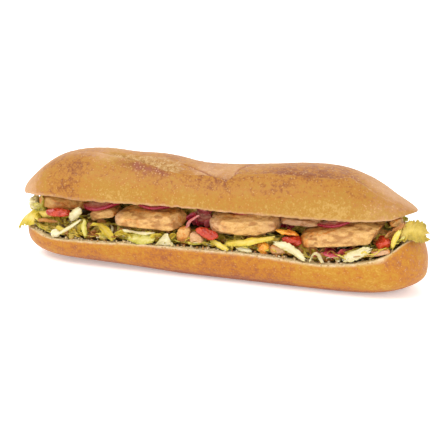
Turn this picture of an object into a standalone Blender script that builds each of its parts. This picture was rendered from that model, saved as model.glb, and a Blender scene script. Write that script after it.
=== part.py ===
"""A long filled baguette sandwich.

The loaf is cut along its length into a bottom and a top half. The bottom half carries a bed of lettuce.
Thick slices of fillet lie on the bed in a front and a back row. Onion, tomato, pepper and leaves fill gaps.
The top half rests on the filling, tilted a few degrees so that the front stands open.

X runs along the loaf, the open front faces -Y, and Z = 0 is the flat underside. Shapes are worked out in
millimetres and turned into metres when an object's mesh is made.
"""

import math

import bmesh
import bpy
import numpy as np
from mathutils import Euler, Vector

MM = 0.001

# The loaf
HALF_WIDTH = 33.0
SECTION_POWER = 0.7

# The bottom half
LOAF_LEFT = -140.5
LOAF_RIGHT = 141.5
BOTTOM_BLUNTNESS = (7.0, 7.6)
SHOULDER_HEIGHT = 22.0
UNDERSIDE_TRIM = 1.9
END_LIFT = 0.55
END_CURL = 5.0
END_CURL_HEIGHT = 18.0
END_CURL_START, END_CURL_LENGTH = 108.0, 32.0
BOTTOM_DISH = 2.6

# Heights along the loaf, as rows of (X, height)
# The knife's cut, which climbs at the right end
CUT = ((-140, 24.0), (-126, 22.6), (-114, 19.9), (-104, 19.2), (-90, 19.8), (-70, 20.6), (-50, 21.9), (-20, 22.4),
       (10, 23.0), (40, 23.3), (60, 22.2), (76, 21.3), (90, 22.2), (102, 24.2), (113, 27.0), (122, 31.2), (130, 35.4),
       (136, 37.0), (140, 36.6))
# The underside, which leaves the table towards both ends
UNDERSIDE = ((-140, 1.5), (-115, 1.8), (-80, 2.2), (-52, 1.6), (-32, 0.7), (-18, 0.1), (-10, 0.0), (10, 0.0),
             (105, 0.0), (125, 0.5), (140, 1.0))
# The widest part of the bottom half's section
BELLY = ((-140, 26.0), (-110, 30.0), (-60, 32.5), (80, 32.5), (112, 30.0), (140, 25.0))
# The top half's lower edge
TOP_EDGE = ((-141, 45.5), (-130, 46.0), (-119, 46.6), (-109, 47.2), (-98, 47.1), (-88, 46.6), (-70, 46.6),
            (-43, 47.2), (-10, 47.6), (20, 47.3), (50, 47.3), (80, 47.2), (100, 47.5), (111, 47.9), (120, 48.9),
            (125, 50.4), (129, 51.6), (132, 52.0))
# The top half's dome over that edge
DOME = ((-139, 15.1), (-120, 25.6), (-100, 30.8), (-80, 32.5), (-60, 30.6), (-35, 29.7), (-10, 25.6), (15, 26.0),
        (40, 28.0), (65, 30.6), (85, 30.8), (100, 27.8), (112, 23.1), (122, 16.2), (132, 5.4))

# The top half
TOP_LEFT = -141.0
TOP_RIGHT = 133.0
TOP_BLUNTNESS = (7.0, 5.0)
TOP_TILT = math.radians(4.0)
TOP_DISH = 1.8
DOME_POWER = 0.8

# The bed of lettuce
BED_LEFT = -129.0
BED_RIGHT = 125.0
BED_HALF_WIDTH = 22.5
BED_TOP = ((-129, 27.0), (-119, 32.0), (-108, 34.2), (-92, 33.0), (-78, 30.6), (-60, 29.0), (-30, 29.4), (0, 30.2),
           (20, 30.8), (45, 31.2), (62, 30.6), (76, 28.6), (92, 29.2), (108, 33.4), (125, 36.8))
BED_CLEARANCE = 0.6
BED_RUFFLE = 0.8

# The long slash in the top crust, narrowed by a bridge at X = 22.
# Each row is (X, front lip, far edge, depth), with the lip and the edge in degrees from the crest.
SLASH = np.array((
    (-80, -24, -14, 0.0), (-68, -27, -2, 1.0), (-58, -29, 8, 1.8), (-45, -36, 14, 2.3), (-27, -45, 18, 2.6),
    (-12, -44, 22, 2.6), (2, -43, 24, 2.6), (12, -47, 24, 2.6), (17, -52, 18, 2.3), (20, -37, 6, 1.0),
    (24, -35, 2, 0.9), (33, -37, 8, 1.6), (45, -36, 14, 1.9), (56, -40, 18, 2.0), (67, -43, 20, 2.0),
    (80, -42, 18, 2.0), (87, -38, 14, 1.8), (92, -30, 8, 1.6), (97, -33, 0, 1.4), (102, -36, -12, 0.9),
    (110, -44, -32, 0.0),
))
LIP_HEIGHT = 0.5
LIP_REACH = 6.0

# How finely each kind of shape is divided
BOTTOM_RINGS = 42
BOTTOM_CRUST_STEPS, BOTTOM_CRUMB_STEPS = 14, 11
TOP_RINGS = 60
TOP_FRONT_STEPS, TOP_OPEN_STEPS, TOP_BACK_STEPS, TOP_CRUMB_STEPS = 7, 8, 9, 6
BED_RINGS = 34
BED_TOP_STEPS, BED_UNDER_STEPS = 8, 5
FILLET_STEPS = (16, 10)
FILLET_SQUARENESS = 0.66
CHUNK_STEPS = (10, 7)
LEAF_STEPS = (8, 3)
ONION_STEPS = (9, 2)
SHRED_STEPS = (6, 1)
PATH_STEPS = 40

# name: (centre, half sizes, turn in degrees about X, Y and Z)
FILLETS = {
    "fillet_front_1": ((-109.2, -6.4, 41.0), (18, 14.8, 5.8), (0, 2, 0)),
    "fillet_front_2": ((-74.6, -14.6, 37.0), (10.6, 9.6, 3.8), (8, -12, 0)),
    "fillet_front_3": ((-38.5, -16.5, 37.0), (25.0, 13.5, 6.7), (8, -2, -2)),
    "fillet_front_4": ((27.0, -16.5, 39.9), (23.4, 13.5, 7.4), (10, -5, 3)),
    "fillet_front_5": ((62.8, -11.0, 43.6), (13.2, 10.5, 3.0), (6, -3, 0)),
    "fillet_front_6": ((90.4, -16.5, 38.0), (26.8, 13.5, 6.4), (10, -13, 2)),
    "fillet_back_1": ((-66.0, 14.5, 37.4), (22.5, 12.5, 6.6), (-8, 2, 3)),
    "fillet_back_2": ((-17.5, 15.5, 37.4), (22.5, 12.5, 6.6), (-6, -2, -4)),
    "fillet_back_3": ((33.0, 15.5, 39.4), (22.6, 12.5, 6.4), (-9, 2, 2)),
    "fillet_back_4": ((81.5, 15.0, 38.4), (23.6, 12.5, 6.4), (-6, -6, -3)),
    "fillet_end_bit": ((-12.0, -24.6, 29.6), (4.8, 4.4, 5.6), (0, 6, 0)),
    "fillet_pale_bit": ((-2.8, -26.8, 28.8), (4.5, 3.4, 3.3), (0, 8, 0)),
    "fillet_mottled_bit": ((51.0, -25.6, 26.6), (4.4, 3.6, 3.6), (0, -8, 0)),
    "fillet_tip": ((121.6, -10.6, 46.4), (3.8, 7.0, 3.3), (4, -6, 0)),
    "fillet_strip": ((115.0, -25.6, 30.6), (5.0, 1.6, 1.4), (0, -14, 10)),
}

# The wet chunks and the knobs: name: (centre, half sizes, turn)
CHUNKS = {
    "tomato_1": ((-103.8, -25.2, 37.0), (8.2, 4.0, 3.0), (0, -4, 4)),
    "tomato_2": ((5.0, -27.9, 33.0), (8.6, 3.0, 2.7), (0, 20, 0)),
    "tomato_3": ((59.2, -24.8, 32.6), (5.8, 3.6, 3.1), (0, -6, 0)),
    "tomato_4": ((115.8, -20.0, 36.0), (4.6, 4.6, 3.5), (8, -38, 0)),
    "tomato_5": ((121.0, -11.8, 38.0), (3.0, 4.8, 3.8), (0, 8, 10)),
    "tomato_back_1": ((-101.0, 22.0, 35.0), (8.0, 5.0, 4.6), (0, 6, -8)),
    "tomato_back_2": ((8.5, 26.2, 28.8), (6.0, 4.0, 4.4), (0, 0, 0)),
    "tomato_back_3": ((112.0, 13.6, 38.4), (5.0, 6.4, 4.6), (0, -10, 0)),
    "onion_bit": ((86.6, -28.0, 27.0), (5.0, 2.3, 1.4), (0, 6, 0)),
    "pepper_piece": ((42.2, -27.0, 27.4), (3.8, 3.1, 3.6), (0, 20, 10)),
    "pepper_strip": ((56.4, -24.4, 37.8), (7.2, 2.6, 1.3), (0, 6, 0)),
    "cabbage_left": ((-131.0, -11.6, 39.0), (3.2, 4.4, 4.4), (0, 8, 0)),
    "cabbage_knob": ((-105.4, -28.4, 22.8), (2.6, 1.7, 2.2), (0, 0, 0)),
}

# name: (centre, inner and outer radius, start and end angle, thickness, turn in degrees about X, Y and Z)
ONIONS = {
    "onion_1": ((-75.5, -8.8, 45.0), (5.0, 16.5), (205, 335), 2.4, (12, -10, 0)),
    "onion_2": ((-35.5, -10.0, 46.6), (5.0, 15.0), (215, 325), 1.9, (3, 0, 0)),
    "onion_3": ((27.0, -10.8, 48.9), (5.0, 15.5), (222, 322), 1.7, (3, -2, 0)),
    "onion_4": ((86.2, -9.4, 46.8), (5.0, 15.5), (215, 318), 1.7, (8, -14, 0)),
    "onion_5": ((-4.6, -2.0, 43.9), (7.0, 16.0), (235, 305), 2.4, (30, 6, 0)),
}

# name: (points along the middle, direction across, width at the middle, thickness, ruffle height, waves)
LEAVES = {
    "leaf_left_end": (((-124.2, -22, 28.2), (-128.5, -20.5, 30.2), (-134.5, -18.8, 29.2), (-139.6, -17.8, 23.2)),
                      (0.3, 0.75, 0.6), 13.0, 1.0, 1.2, 2.5),
    "leaf_left_olive": (((-123.5, -18.5, 33.2), (-118, -20.5, 33.6), (-111, -21.5, 33.4)),
                        (0.0, 0.5, 0.9), 4.8, 0.9, 0.4, 1.5),
    "leaf_brown": (((-121.8, -22.5, 28.8), (-116, -24.4, 30.0), (-107, -25.0, 29.8)),
                   (0.0, 1.0, 0.35), 4.4, 1.0, 0.4, 1.0),
    "leaf_olive": (((-124, -21, 24.6), (-112, -24.4, 25.0), (-99, -25.2, 24.6)),
                   (0.0, 0.6, 0.8), 4.0, 0.9, 0.5, 2.0),
    "leaf_diagonal": (((-102.5, -28.8, 23.0), (-93.5, -29.0, 28.4), (-86.5, -27.4, 33.4)),
                      (0.3, 0.4, 0.9), 3.8, 1.0, 0.2, 1.0),
    "leaf_strip": (((-84.6, -25.2, 33.4), (-83.8, -28.4, 29.0), (-82.2, -29.4, 23.4)),
                   (1.0, 0.1, 0.1), 4.0, 0.9, 0.2, 1.0),
    "leaf_curl": (((-79.5, -24, 29.6), (-72, -28.0, 31.6), (-66, -29.6, 28.0), (-62, -30.4, 22.8)),
                  (0.5, 0.75, -0.2), 7.4, 0.9, 0.5, 1.5),
    "leaf_cream": (((-54, -28.0, 30.0), (-43, -28.6, 29.4), (-32, -28.4, 30.0)),
                   (0.0, 1.0, 0.1), 3.4, 0.9, 0.3, 1.5),
    "leaf_wedge": (((-51, -27.4, 24.8), (-42, -29.2, 25.3), (-32, -29.2, 25.5)),
                   (0.1, 0.55, 1.0), 6.8, 0.9, 0.6, 1.5),
    "leaf_pointed": (((-23.6, -29.4, 22.7), (-23.4, -29.2, 26.6), (-22.6, -28.4, 30.6)),
                     (1.0, 0.0, 0.05), 13.4, 0.9, 0.4, 1.0),
    "leaf_slant": (((6.0, -25.0, 27.8), (13.5, -29.0, 26.6), (20.0, -30.0, 24.2)),
                   (0.3, 0.3, 0.9), 3.4, 0.9, 0.3, 1.0),
    "leaf_yellow": (((17.5, -27.6, 27.4), (27, -29.4, 29.8), (37, -29.2, 32.0), (48.5, -26.6, 34.4)),
                    (0.0, 0.8, 0.5), 5.6, 0.9, 0.5, 2.0),
    "leaf_right_end": (((125.4, -19.2, 40.4), (129.5, -17.4, 43.6), (134.5, -13.5, 43.2), (140.0, -8.5, 39.6)),
                       (0.0, 0.35, 0.95), 12.6, 1.0, 1.0, 2.5),
    "leaf_right_rib": (((121.0, -23.4, 33.8), (122.2, -22.6, 38.8), (124.8, -21.4, 44.6)),
                       (0.9, 0.3, -0.3), 3.4, 1.0, 0.2, 1.0),
    "leaf_back_1": (((-92, 24, 30.5), (-82, 28.5, 28.5), (-72, 28.6, 26.6)),
                    (0.0, 0.6, -0.9), 7.0, 0.9, 0.7, 1.5),
    "leaf_back_2": (((-52, 27.5, 26.0), (-40, 29.0, 27.0), (-30, 28.5, 25.6)),
                    (0.0, 0.6, -0.9), 6.4, 0.9, 0.7, 2.0),
    "leaf_back_3": (((22, 28.0, 26.2), (34, 29.2, 27.2), (46, 28.4, 25.8)),
                    (0.0, 0.6, -0.9), 6.6, 0.9, 0.8, 2.0),
    "leaf_back_4": (((66, 28.2, 26.4), (78, 29.4, 27.2), (92, 28.0, 27.0)),
                    (0.0, 0.6, -0.9), 6.6, 0.9, 0.8, 2.0),
    "cabbage_rib": (((-95.2, -24.2, 31.8), (-91.2, -26.6, 36.6), (-86.4, -26.8, 41.6)),
                    (0.75, 0.3, -0.55), 6.2, 1.4, 0.3, 1.0),
    "cabbage_bit": (((24.5, -27.8, 25.4), (30, -29.2, 25.2), (35.5, -29.4, 24.5)),
                    (0.2, 0.5, 0.8), 3.2, 0.9, 0.3, 1.0),
    "cabbage_curl": (((49.5, -29.6, 31.6), (58, -30.2, 30.4), (64.5, -30.6, 26.6), (70, -30.6, 22.8)),
                     (0.3, 0.45, 0.85), 4.8, 1.0, 0.3, 1.0),
    "cabbage_arch": (((72.6, -30.2, 22.2), (74.2, -29.8, 26.6), (76.4, -30.0, 28.0), (78.6, -29.9, 26.2),
                      (80.8, -30.2, 22.2)), (0.2, 0.9, 0.1), 4.4, 1.0, 0.2, 1.0),
    "cabbage_fringe": (((93.5, -28.8, 25.4), (100.5, -28.4, 28.6), (108.5, -26.4, 32.6)),
                       (-0.3, 0.4, 0.9), 6.0, 1.0, 0.5, 2.0),
    "onion_strip": (((-9.4, -27.0, 35.6), (-6.6, -28.6, 40.6), (-1.0, -28.0, 44.4)),
                    (0.3, 1.0, -0.2), 3.4, 1.1, 0.0, 1.0),
}

# How far a leaf narrows from its first end to its last, from 0 to 1
TAPERS = {"leaf_pointed": 1.0}

# Shreds that stick out of the bed: (points along the middle, direction across, width)
SHRED_THICKNESS = 1.1
SHREDS = (
    (((-70, -11, 22.6), (-72, -22, 23.6), (-74, -28.0, 22.6)), (1.0, -0.1, 0.1), 4.0),
    (((22, -11, 23.6), (26, -22, 24.0), (28, -27.0, 24.2)), (1.0, -0.2, 0.1), 6.0),
    (((86, -11, 22.6), (88, -22, 23.6), (90, -27.5, 23.2)), (1.0, 0.1, 0.1), 4.0),
    (((-62, 11, 22.6), (-64, 24, 25.0), (-66, 29.5, 22.6)), (1.0, 0.2, 0.1), 3.0),
    (((-22, 11, 23.6), (-20, 24, 26.0), (-22, 30.0, 24.0)), (1.0, 0.1, 0.2), 3.4),
    (((-8, 11, 23.6), (-10, 23, 26.5), (-8, 29.5, 24.0)), (1.0, -0.2, 0.2), 3.0),
    (((56, 11, 23.6), (54, 24, 26.5), (56, 30.0, 24.0)), (1.0, 0.1, -0.2), 3.2),
    (((102, 11, 26.6), (106, 20, 32.0), (108, 25.0, 30.0)), (1.0, -0.3, 0.2), 3.4),
    (((-112, 11, 21.6), (-114, 20, 24.0), (-116, 25.0, 22.6)), (1.0, 0.2, 0.1), 4.0),
)

COLOURS = {
    "crust": ((0.58, 0.29, 0.09), 0.62),
    "lettuce": ((0.50, 0.52, 0.10), 0.45),
    "cabbage": ((0.70, 0.66, 0.42), 0.40),
    "fillet": ((0.66, 0.42, 0.20), 0.50),
    "onion": ((0.48, 0.10, 0.20), 0.35),
    "tomato": ((0.60, 0.06, 0.02), 0.30),
    "pepper": ((0.85, 0.30, 0.03), 0.30),
}


def signed_power(value, power):
    """value raised to power, keeping its sign."""
    return np.sign(value) * np.abs(value) ** power


def smooth_step(value):
    """A ramp from 0 to 1 with level ends."""
    value = np.clip(value, 0.0, 1.0)
    return value * value * (3.0 - 2.0 * value)


def waves(x, y, z, seed=0.0):
    """Three crossing waves added up to a number between -1 and 1, which make food uneven."""
    first = np.sin(2.6 * x + 1.7 * y + 3.1 * seed)
    second = np.sin(2.2 * y - 1.9 * z + 1.7 * seed)
    third = np.sin(2.4 * z + 1.5 * x + 2.3 * seed)
    return (first + second + third) / 3.0


def plan_share(x, left, right, bluntness):
    """The loaf's width at x as a share of its full width, seen from above."""
    middle, reach = (left + right) / 2.0, (right - left) / 2.0
    t = (x - middle) / reach
    power = bluntness[0] if t < 0 else bluntness[1]
    return math.sqrt(max(1.0 - abs(t) ** power, 0.0))


def stations(left, right, count):
    """Places along X, closer together towards both ends."""
    middle, reach = (left + right) / 2.0, (right - left) / 2.0
    angles = np.linspace(0.02, math.pi - 0.02, count)
    even = np.linspace(-1.0, 1.0, count) * math.cos(0.02)
    return middle + reach * (0.65 * -np.cos(angles) + 0.35 * even)


def along(x, rows):
    """A smooth curve through rows of (X, height), with the slope at each row taken from its neighbours."""
    at, height = np.array(rows, float).T
    slope = np.gradient(height, at)
    x = np.clip(x, at[0], at[-1])
    i = np.clip(np.searchsorted(at, x) - 1, 0, len(at) - 2)
    width = at[i + 1] - at[i]
    s = (x - at[i]) / width
    start = height[i] * (1 + 2 * s) * (1 - s) ** 2 + slope[i] * width * s * (1 - s) ** 2
    end = height[i + 1] * s * s * (3 - 2 * s) + slope[i + 1] * width * s * s * (s - 1)
    return start + end


def end_curl(x, z):
    """How far a point at height z moves along X, so that both ends of the bottom half are round from the side."""
    share = smooth_step((np.abs(x) - END_CURL_START) / END_CURL_LENGTH)
    return -np.sign(x) * END_CURL * share * ((z - END_CURL_HEIGHT) / END_CURL_HEIGHT) ** 2


# Where the cut face of each section comes to lie once the ends are curled in
SECTION_X = np.linspace(LOAF_LEFT, LOAF_RIGHT, 400)
CUT_X = SECTION_X + end_curl(SECTION_X, along(SECTION_X, CUT))


def crumb_of_section(x, y):
    """The cut face of the section at x, pressed down a little by the filling."""
    share = plan_share(x, LOAF_LEFT, LOAF_RIGHT, BOTTOM_BLUNTNESS)
    across = np.abs(y) / max(HALF_WIDTH * share, 0.1)
    return along(x, CUT) - BOTTOM_DISH * share * (1.0 - smooth_step((across - 0.5) / 0.38))


def crumb_height(x, y):
    """The height of the bottom half's cut face over the place (x, y)."""
    return crumb_of_section(float(np.interp(x, CUT_X, SECTION_X)), y)


def bottom_ring(x):
    """One closed section of the bottom half: round under the crust, then back over the crumb."""
    share = plan_share(x, LOAF_LEFT, LOAF_RIGHT, BOTTOM_BLUNTNESS)
    half = HALF_WIDTH * share
    belly, cut, lift = along(x, BELLY), along(x, CUT), max(float(along(x, UNDERSIDE)), 0.0)
    below = belly * (1.0 - END_LIFT * (1.0 - share))
    to_rim = belly - UNDERSIDE_TRIM - cut
    rim = to_rim / (below if to_rim > 0 else SHOULDER_HEIGHT)
    rim_angle = math.acos(float(signed_power(rim, 1.0 / SECTION_POWER)))
    angles = np.linspace(-rim_angle, rim_angle, BOTTOM_CRUST_STEPS + 1)
    y = half * signed_power(np.sin(angles), SECTION_POWER)
    up = signed_power(np.cos(angles), SECTION_POWER)
    z = belly - np.where(up > 0, below, SHOULDER_HEIGHT) * up
    z = np.maximum(z, UNDERSIDE_TRIM) - UNDERSIDE_TRIM
    z = lift + z * (1.0 - lift / cut)
    z[[0, -1]] = cut
    crumb_y = np.linspace(y[-1], y[0], BOTTOM_CRUMB_STEPS + 1)[1:-1]
    crumb_z = np.minimum(crumb_of_section(x, crumb_y), cut)
    places_x = x + np.append(end_curl(x, z), end_curl(x, cut) + 0.0 * crumb_y)
    return list(zip(places_x, np.append(y, crumb_y), np.append(z, crumb_z)))


def slash_at(x):
    """The slash's front lip, far edge and depth at x, with angles in radians from the crest."""
    lip, far, depth = (float(np.interp(x, SLASH[:, 0], SLASH[:, column])) for column in (1, 2, 3))
    return math.radians(lip), math.radians(far), depth


def crust_angles(x):
    """Angles from the crest for one section of the top crust, with edges that follow the slash's lip."""
    lip, far, _ = slash_at(x)
    quarter = math.pi / 2.0
    front = np.linspace(-quarter, lip, TOP_FRONT_STEPS + 1)
    wall = lip + np.radians((2.0, 5.5))
    opened = np.linspace(wall[-1], far, TOP_OPEN_STEPS + 1)[1:]
    back = np.linspace(far, quarter, TOP_BACK_STEPS + 1)[1:]
    return np.concatenate((front, wall, opened, back))


def slash_relief(x, angles):
    """How far the slash raises or lowers the top crust at x, for angles from the crest."""
    lip, far, depth = slash_at(x)
    behind = HALF_WIDTH * (angles - lip)
    width = HALF_WIDTH * (far - lip)
    opened = smooth_step(behind / 3.2) * (1.0 - smooth_step(behind / width))
    rolled = np.exp(-((behind / LIP_REACH) ** 2)) * (behind <= 0.01)
    return depth * (LIP_HEIGHT * rolled - opened)


def top_ring(x):
    """One closed section of the top half: over the crust, then back under the crumb, tilted."""
    share = plan_share(x, TOP_LEFT, TOP_RIGHT, TOP_BLUNTNESS)
    half = HALF_WIDTH * share
    height = along(x, DOME) * share ** 0.9
    angles = crust_angles(x)
    relief = slash_relief(x, angles) * share * np.cos(angles) ** 0.5
    y = half * np.sin(angles) + relief * np.sin(angles)
    z = height * np.abs(np.cos(angles)) ** DOME_POWER + relief * np.cos(angles)
    crumb_y = np.linspace(half, -half, TOP_CRUMB_STEPS + 1)[1:-1]
    crumb_z = TOP_DISH * share * (1.0 - (crumb_y / max(half, 0.1)) ** 4)
    y = np.append(y, crumb_y)
    z = np.append(z, np.minimum(crumb_z, 0.6 * height))
    tilted_y = y * math.cos(TOP_TILT) + z * math.sin(TOP_TILT)
    tilted_z = along(x, TOP_EDGE) - y * math.sin(TOP_TILT) + z * math.cos(TOP_TILT)
    return [(x, a, b) for a, b in zip(tilted_y, tilted_z)]


def bed_ring(x):
    """One closed section of the lettuce bed: along the crumb, then back over its uneven top."""
    end_share = math.sqrt(plan_share(x, BED_LEFT, BED_RIGHT, (4.0, 4.0)))
    half = BED_HALF_WIDTH * end_share * (1.0 + 0.04 * waves(0.09 * x, 3.0, 0.0))
    top = along(x, BED_TOP)
    under_y = np.linspace(-half, half, BED_UNDER_STEPS + 1)
    under_z = crumb_height(x, under_y) + BED_CLEARANCE
    over_y = np.linspace(half, -half, BED_TOP_STEPS + 1)[1:-1]
    floor = crumb_height(x, over_y) + BED_CLEARANCE
    rounded = (0.45 + 0.55 * end_share) * np.sqrt(1.0 - (over_y / half) ** 4)
    ruffle = BED_RUFFLE * waves(0.11 * x, 0.12 * over_y, 1.0)
    over_z = np.maximum(floor + (top - floor) * rounded + ruffle, floor + 1.0)
    return [(x, a, b) for a, b in zip(np.append(under_y, over_y), np.append(under_z, over_z))]


def path_points(points, count):
    """count + 1 places on a smooth curve through the given points, spread evenly from first to last."""
    points = np.array(points, float)
    padded = np.vstack([2 * points[0] - points[1], points, 2 * points[-1] - points[-2]])
    places = []
    for t in np.linspace(0.0, len(points) - 1.0, count + 1):
        i = min(int(t), len(points) - 2)
        s = t - i
        a, b, c, d = padded[i:i + 4]
        bend = (2 * a - 5 * b + 4 * c - d) * s * s + (3 * b - a - 3 * c + d) * s ** 3
        places.append(0.5 * (2 * b + (c - a) * s + bend))
    return np.array(places)


def make_object(name, shape, colour, collection, centre=(0, 0, 0), turn=(0, 0, 0)):
    """Turns a bmesh in millimetres into an object in metres, placed by its location and rotation."""
    bmesh.ops.recalc_face_normals(shape, faces=shape.faces)
    bmesh.ops.scale(shape, vec=(MM, MM, MM), verts=shape.verts)
    mesh = bpy.data.meshes.new(name)
    shape.to_mesh(mesh)
    shape.free()
    mesh.shade_smooth()
    mesh.set_sharp_from_angle(angle=math.radians(50))
    mesh.materials.append(material(colour))
    made = bpy.data.objects.new(name, mesh)
    made.location = Vector(centre) * MM
    made.rotation_euler = Euler([math.radians(a) for a in turn])
    collection.objects.link(made)
    return made


def material(colour):
    """The Principled material of that name, made once."""
    found = bpy.data.materials.get(colour)
    if found:
        return found
    made = bpy.data.materials.new(colour)
    made.use_nodes = True
    shader = made.node_tree.nodes["Principled BSDF"]
    shader.inputs["Base Color"].default_value = (*COLOURS[colour][0], 1.0)
    shader.inputs["Roughness"].default_value = COLOURS[colour][1]
    shader.inputs["Metallic"].default_value = 0.0
    return made


def loft(rings):
    """A closed shape through rings of equal length, with a flat cap at each end."""
    shape = bmesh.new()
    rows = [[shape.verts.new(point) for point in ring] for ring in rings]
    for first, second in zip(rows, rows[1:]):
        for i in range(len(first)):
            j = (i + 1) % len(first)
            shape.faces.new((first[i], first[j], second[j], second[i]))
    caps = [shape.faces.new(rows[0]), shape.faces.new(rows[-1])]
    bmesh.ops.triangulate(shape, faces=caps, ngon_method="EAR_CLIP")
    return shape


def lump(half_sizes, steps, squareness, unevenness, seed):
    """A rounded, uneven slice or chunk, from a sphere whose points are pushed out to a softened block."""
    shape = bmesh.new()
    bmesh.ops.create_uvsphere(shape, u_segments=steps[0], v_segments=steps[1], radius=1.0)
    for vertex in shape.verts:
        swell = 1.0 + unevenness * waves(*vertex.co, seed)
        squared = signed_power(np.array(vertex.co), squareness)
        vertex.co = Vector(squared * np.array(half_sizes) * swell)
    return shape


def sheet(place, steps):
    """The middle surface place(u, v), in triangles, so that both faces of its solid are split alike."""
    shape = bmesh.new()
    bmesh.ops.create_grid(shape, x_segments=steps[0], y_segments=steps[1], size=0.5)
    for vertex in shape.verts:
        vertex.co = Vector(place(vertex.co.x + 0.5, vertex.co.y + 0.5))
    bmesh.ops.triangulate(shape, faces=shape.faces)
    return shape


def add_thickness(made, thickness):
    """Gives a sheet its thickness, half to each side."""
    solid = made.modifiers.new("thickness", "SOLIDIFY")
    solid.thickness = thickness * MM
    solid.offset = 0.0
    solid.use_even_offset = False


def ribbon(points, across, width, ruffle=0.2, waves=1.0, taper=0.0):
    """A surface along a path, narrower at its ends and ruffled along its sides, as a function of (u, v)."""
    middle = path_points(points, PATH_STEPS)
    across = np.array(across, float) / np.linalg.norm(across)
    normals = np.cross(np.gradient(middle, axis=0), across)
    normals /= np.linalg.norm(normals, axis=1)[:, None]

    def place(u, v):
        i = round(u * PATH_STEPS)
        side = 2.0 * v - 1.0
        half = 0.5 * width * (1.0 - 0.55 * (1.0 - taper) * abs(2.0 * u - 1.0) ** 2.5) * (1.0 - 0.85 * taper * u)
        lift = ruffle * side * abs(side) * math.sin(2.0 * math.pi * waves * u + 1.0)
        return middle[i] + across * side * half + normals[i] * lift

    return place


def build_leaf(name, spec, colour, collection):
    """A leaf, rib or strip as a thin wavy solid."""
    points, across, width, thickness, ruffle, waves = spec
    surface = sheet(ribbon(points, across, width, ruffle, waves, TAPERS.get(name, 0.0)), LEAF_STEPS)
    add_thickness(make_object(name, surface, colour, collection), thickness)


def build_onion(name, spec, collection):
    """A slice of red onion: part of a ring, lying nearly flat."""
    centre, radii, span, thickness, turn = spec

    def place(u, v):
        angle = math.radians(span[0] + (span[1] - span[0]) * u)
        radius = radii[0] + (radii[1] - radii[0]) * v
        return radius * math.cos(angle), radius * math.sin(angle), 0.25 * math.sin(5.0 * angle) * v

    slice_of_onion = make_object(name, sheet(place, ONION_STEPS), "onion", collection, centre, turn)
    add_thickness(slice_of_onion, thickness)


def build_bed(collection):
    """The lettuce bed, with the shreds that stick out of it joined on by one union."""
    rings = [bed_ring(x) for x in stations(BED_LEFT, BED_RIGHT, BED_RINGS)]
    bed = make_object("lettuce_bed", loft(rings), "lettuce", collection)
    loose = bpy.data.collections.new("shreds")
    bpy.context.scene.collection.children.link(loose)
    for i, (points, across, width) in enumerate(SHREDS):
        strip = sheet(ribbon(points, across, width), SHRED_STEPS)
        add_thickness(make_object(f"shred_{i + 1}", strip, "lettuce", loose), SHRED_THICKNESS)
    union = bed.modifiers.new("shreds", "BOOLEAN")
    union.operation = "UNION"
    union.operand_type = "COLLECTION"
    union.collection = loose
    union.solver = "EXACT"
    bpy.context.view_layer.update()
    joined = bpy.data.meshes.new_from_object(bed.evaluated_get(bpy.context.evaluated_depsgraph_get()))
    bed.modifiers.clear()
    bed.data = joined
    for shred in list(loose.objects):
        bpy.data.objects.remove(shred)
    bpy.data.collections.remove(loose)


def centre_on_origin(collection):
    """Moves every piece alike so that the whole sandwich's box is centred over the origin."""
    bpy.context.view_layer.update()
    graph = bpy.context.evaluated_depsgraph_get()
    places = []
    for made in collection.objects:
        places += [made.matrix_world @ vertex.co for vertex in made.evaluated_get(graph).data.vertices]
    places = np.array(places)
    middle = (places.min(axis=0) + places.max(axis=0)) / 2.0
    for made in collection.objects:
        made.location -= Vector((middle[0], middle[1], 0.0))


def build_sandwich():
    """Builds every piece into one collection."""
    for old in list(bpy.data.objects):
        bpy.data.objects.remove(old)
    sandwich = bpy.data.collections.new("baguette_sandwich")
    bpy.context.scene.collection.children.link(sandwich)
    bottom = [bottom_ring(x) for x in stations(LOAF_LEFT, LOAF_RIGHT, BOTTOM_RINGS)]
    make_object("bread_bottom", loft(bottom), "crust", sandwich)
    top = [top_ring(x) for x in stations(TOP_LEFT, TOP_RIGHT, TOP_RINGS)]
    make_object("bread_top", loft(top), "crust", sandwich)
    build_bed(sandwich)
    for i, (name, (centre, half_sizes, turn)) in enumerate(FILLETS.items()):
        make_object(name, lump(half_sizes, FILLET_STEPS, FILLET_SQUARENESS, 0.07, i), "fillet", sandwich, centre, turn)
    for i, (name, (centre, half_sizes, turn)) in enumerate(CHUNKS.items()):
        kind = name.split("_")[0]
        make_object(name, lump(half_sizes, CHUNK_STEPS, 0.75, 0.16, i + 20), kind, sandwich, centre, turn)
    for name, spec in ONIONS.items():
        build_onion(name, spec, sandwich)
    for name, spec in LEAVES.items():
        kind = name.split("_")[0]
        build_leaf(name, spec, "lettuce" if kind == "leaf" else kind, sandwich)
    centre_on_origin(sandwich)


build_sandwich()
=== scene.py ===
"""A long filled baguette sandwich, dressed for a studio picture.

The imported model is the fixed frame. Every solid of the frame is replaced by a finer surface of the same form,
worked out with numpy in the loaf's own millimetres: X along the loaf, -Y out of the open front, Z up from the
underside. The bed of lettuce is replaced by a ruffled core with real shreds and torn leaves over it.
"""

import logging
import math
from dataclasses import dataclass, field
from enum import Enum
from itertools import product
from typing import Mapping, Optional, Sequence, Union

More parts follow.
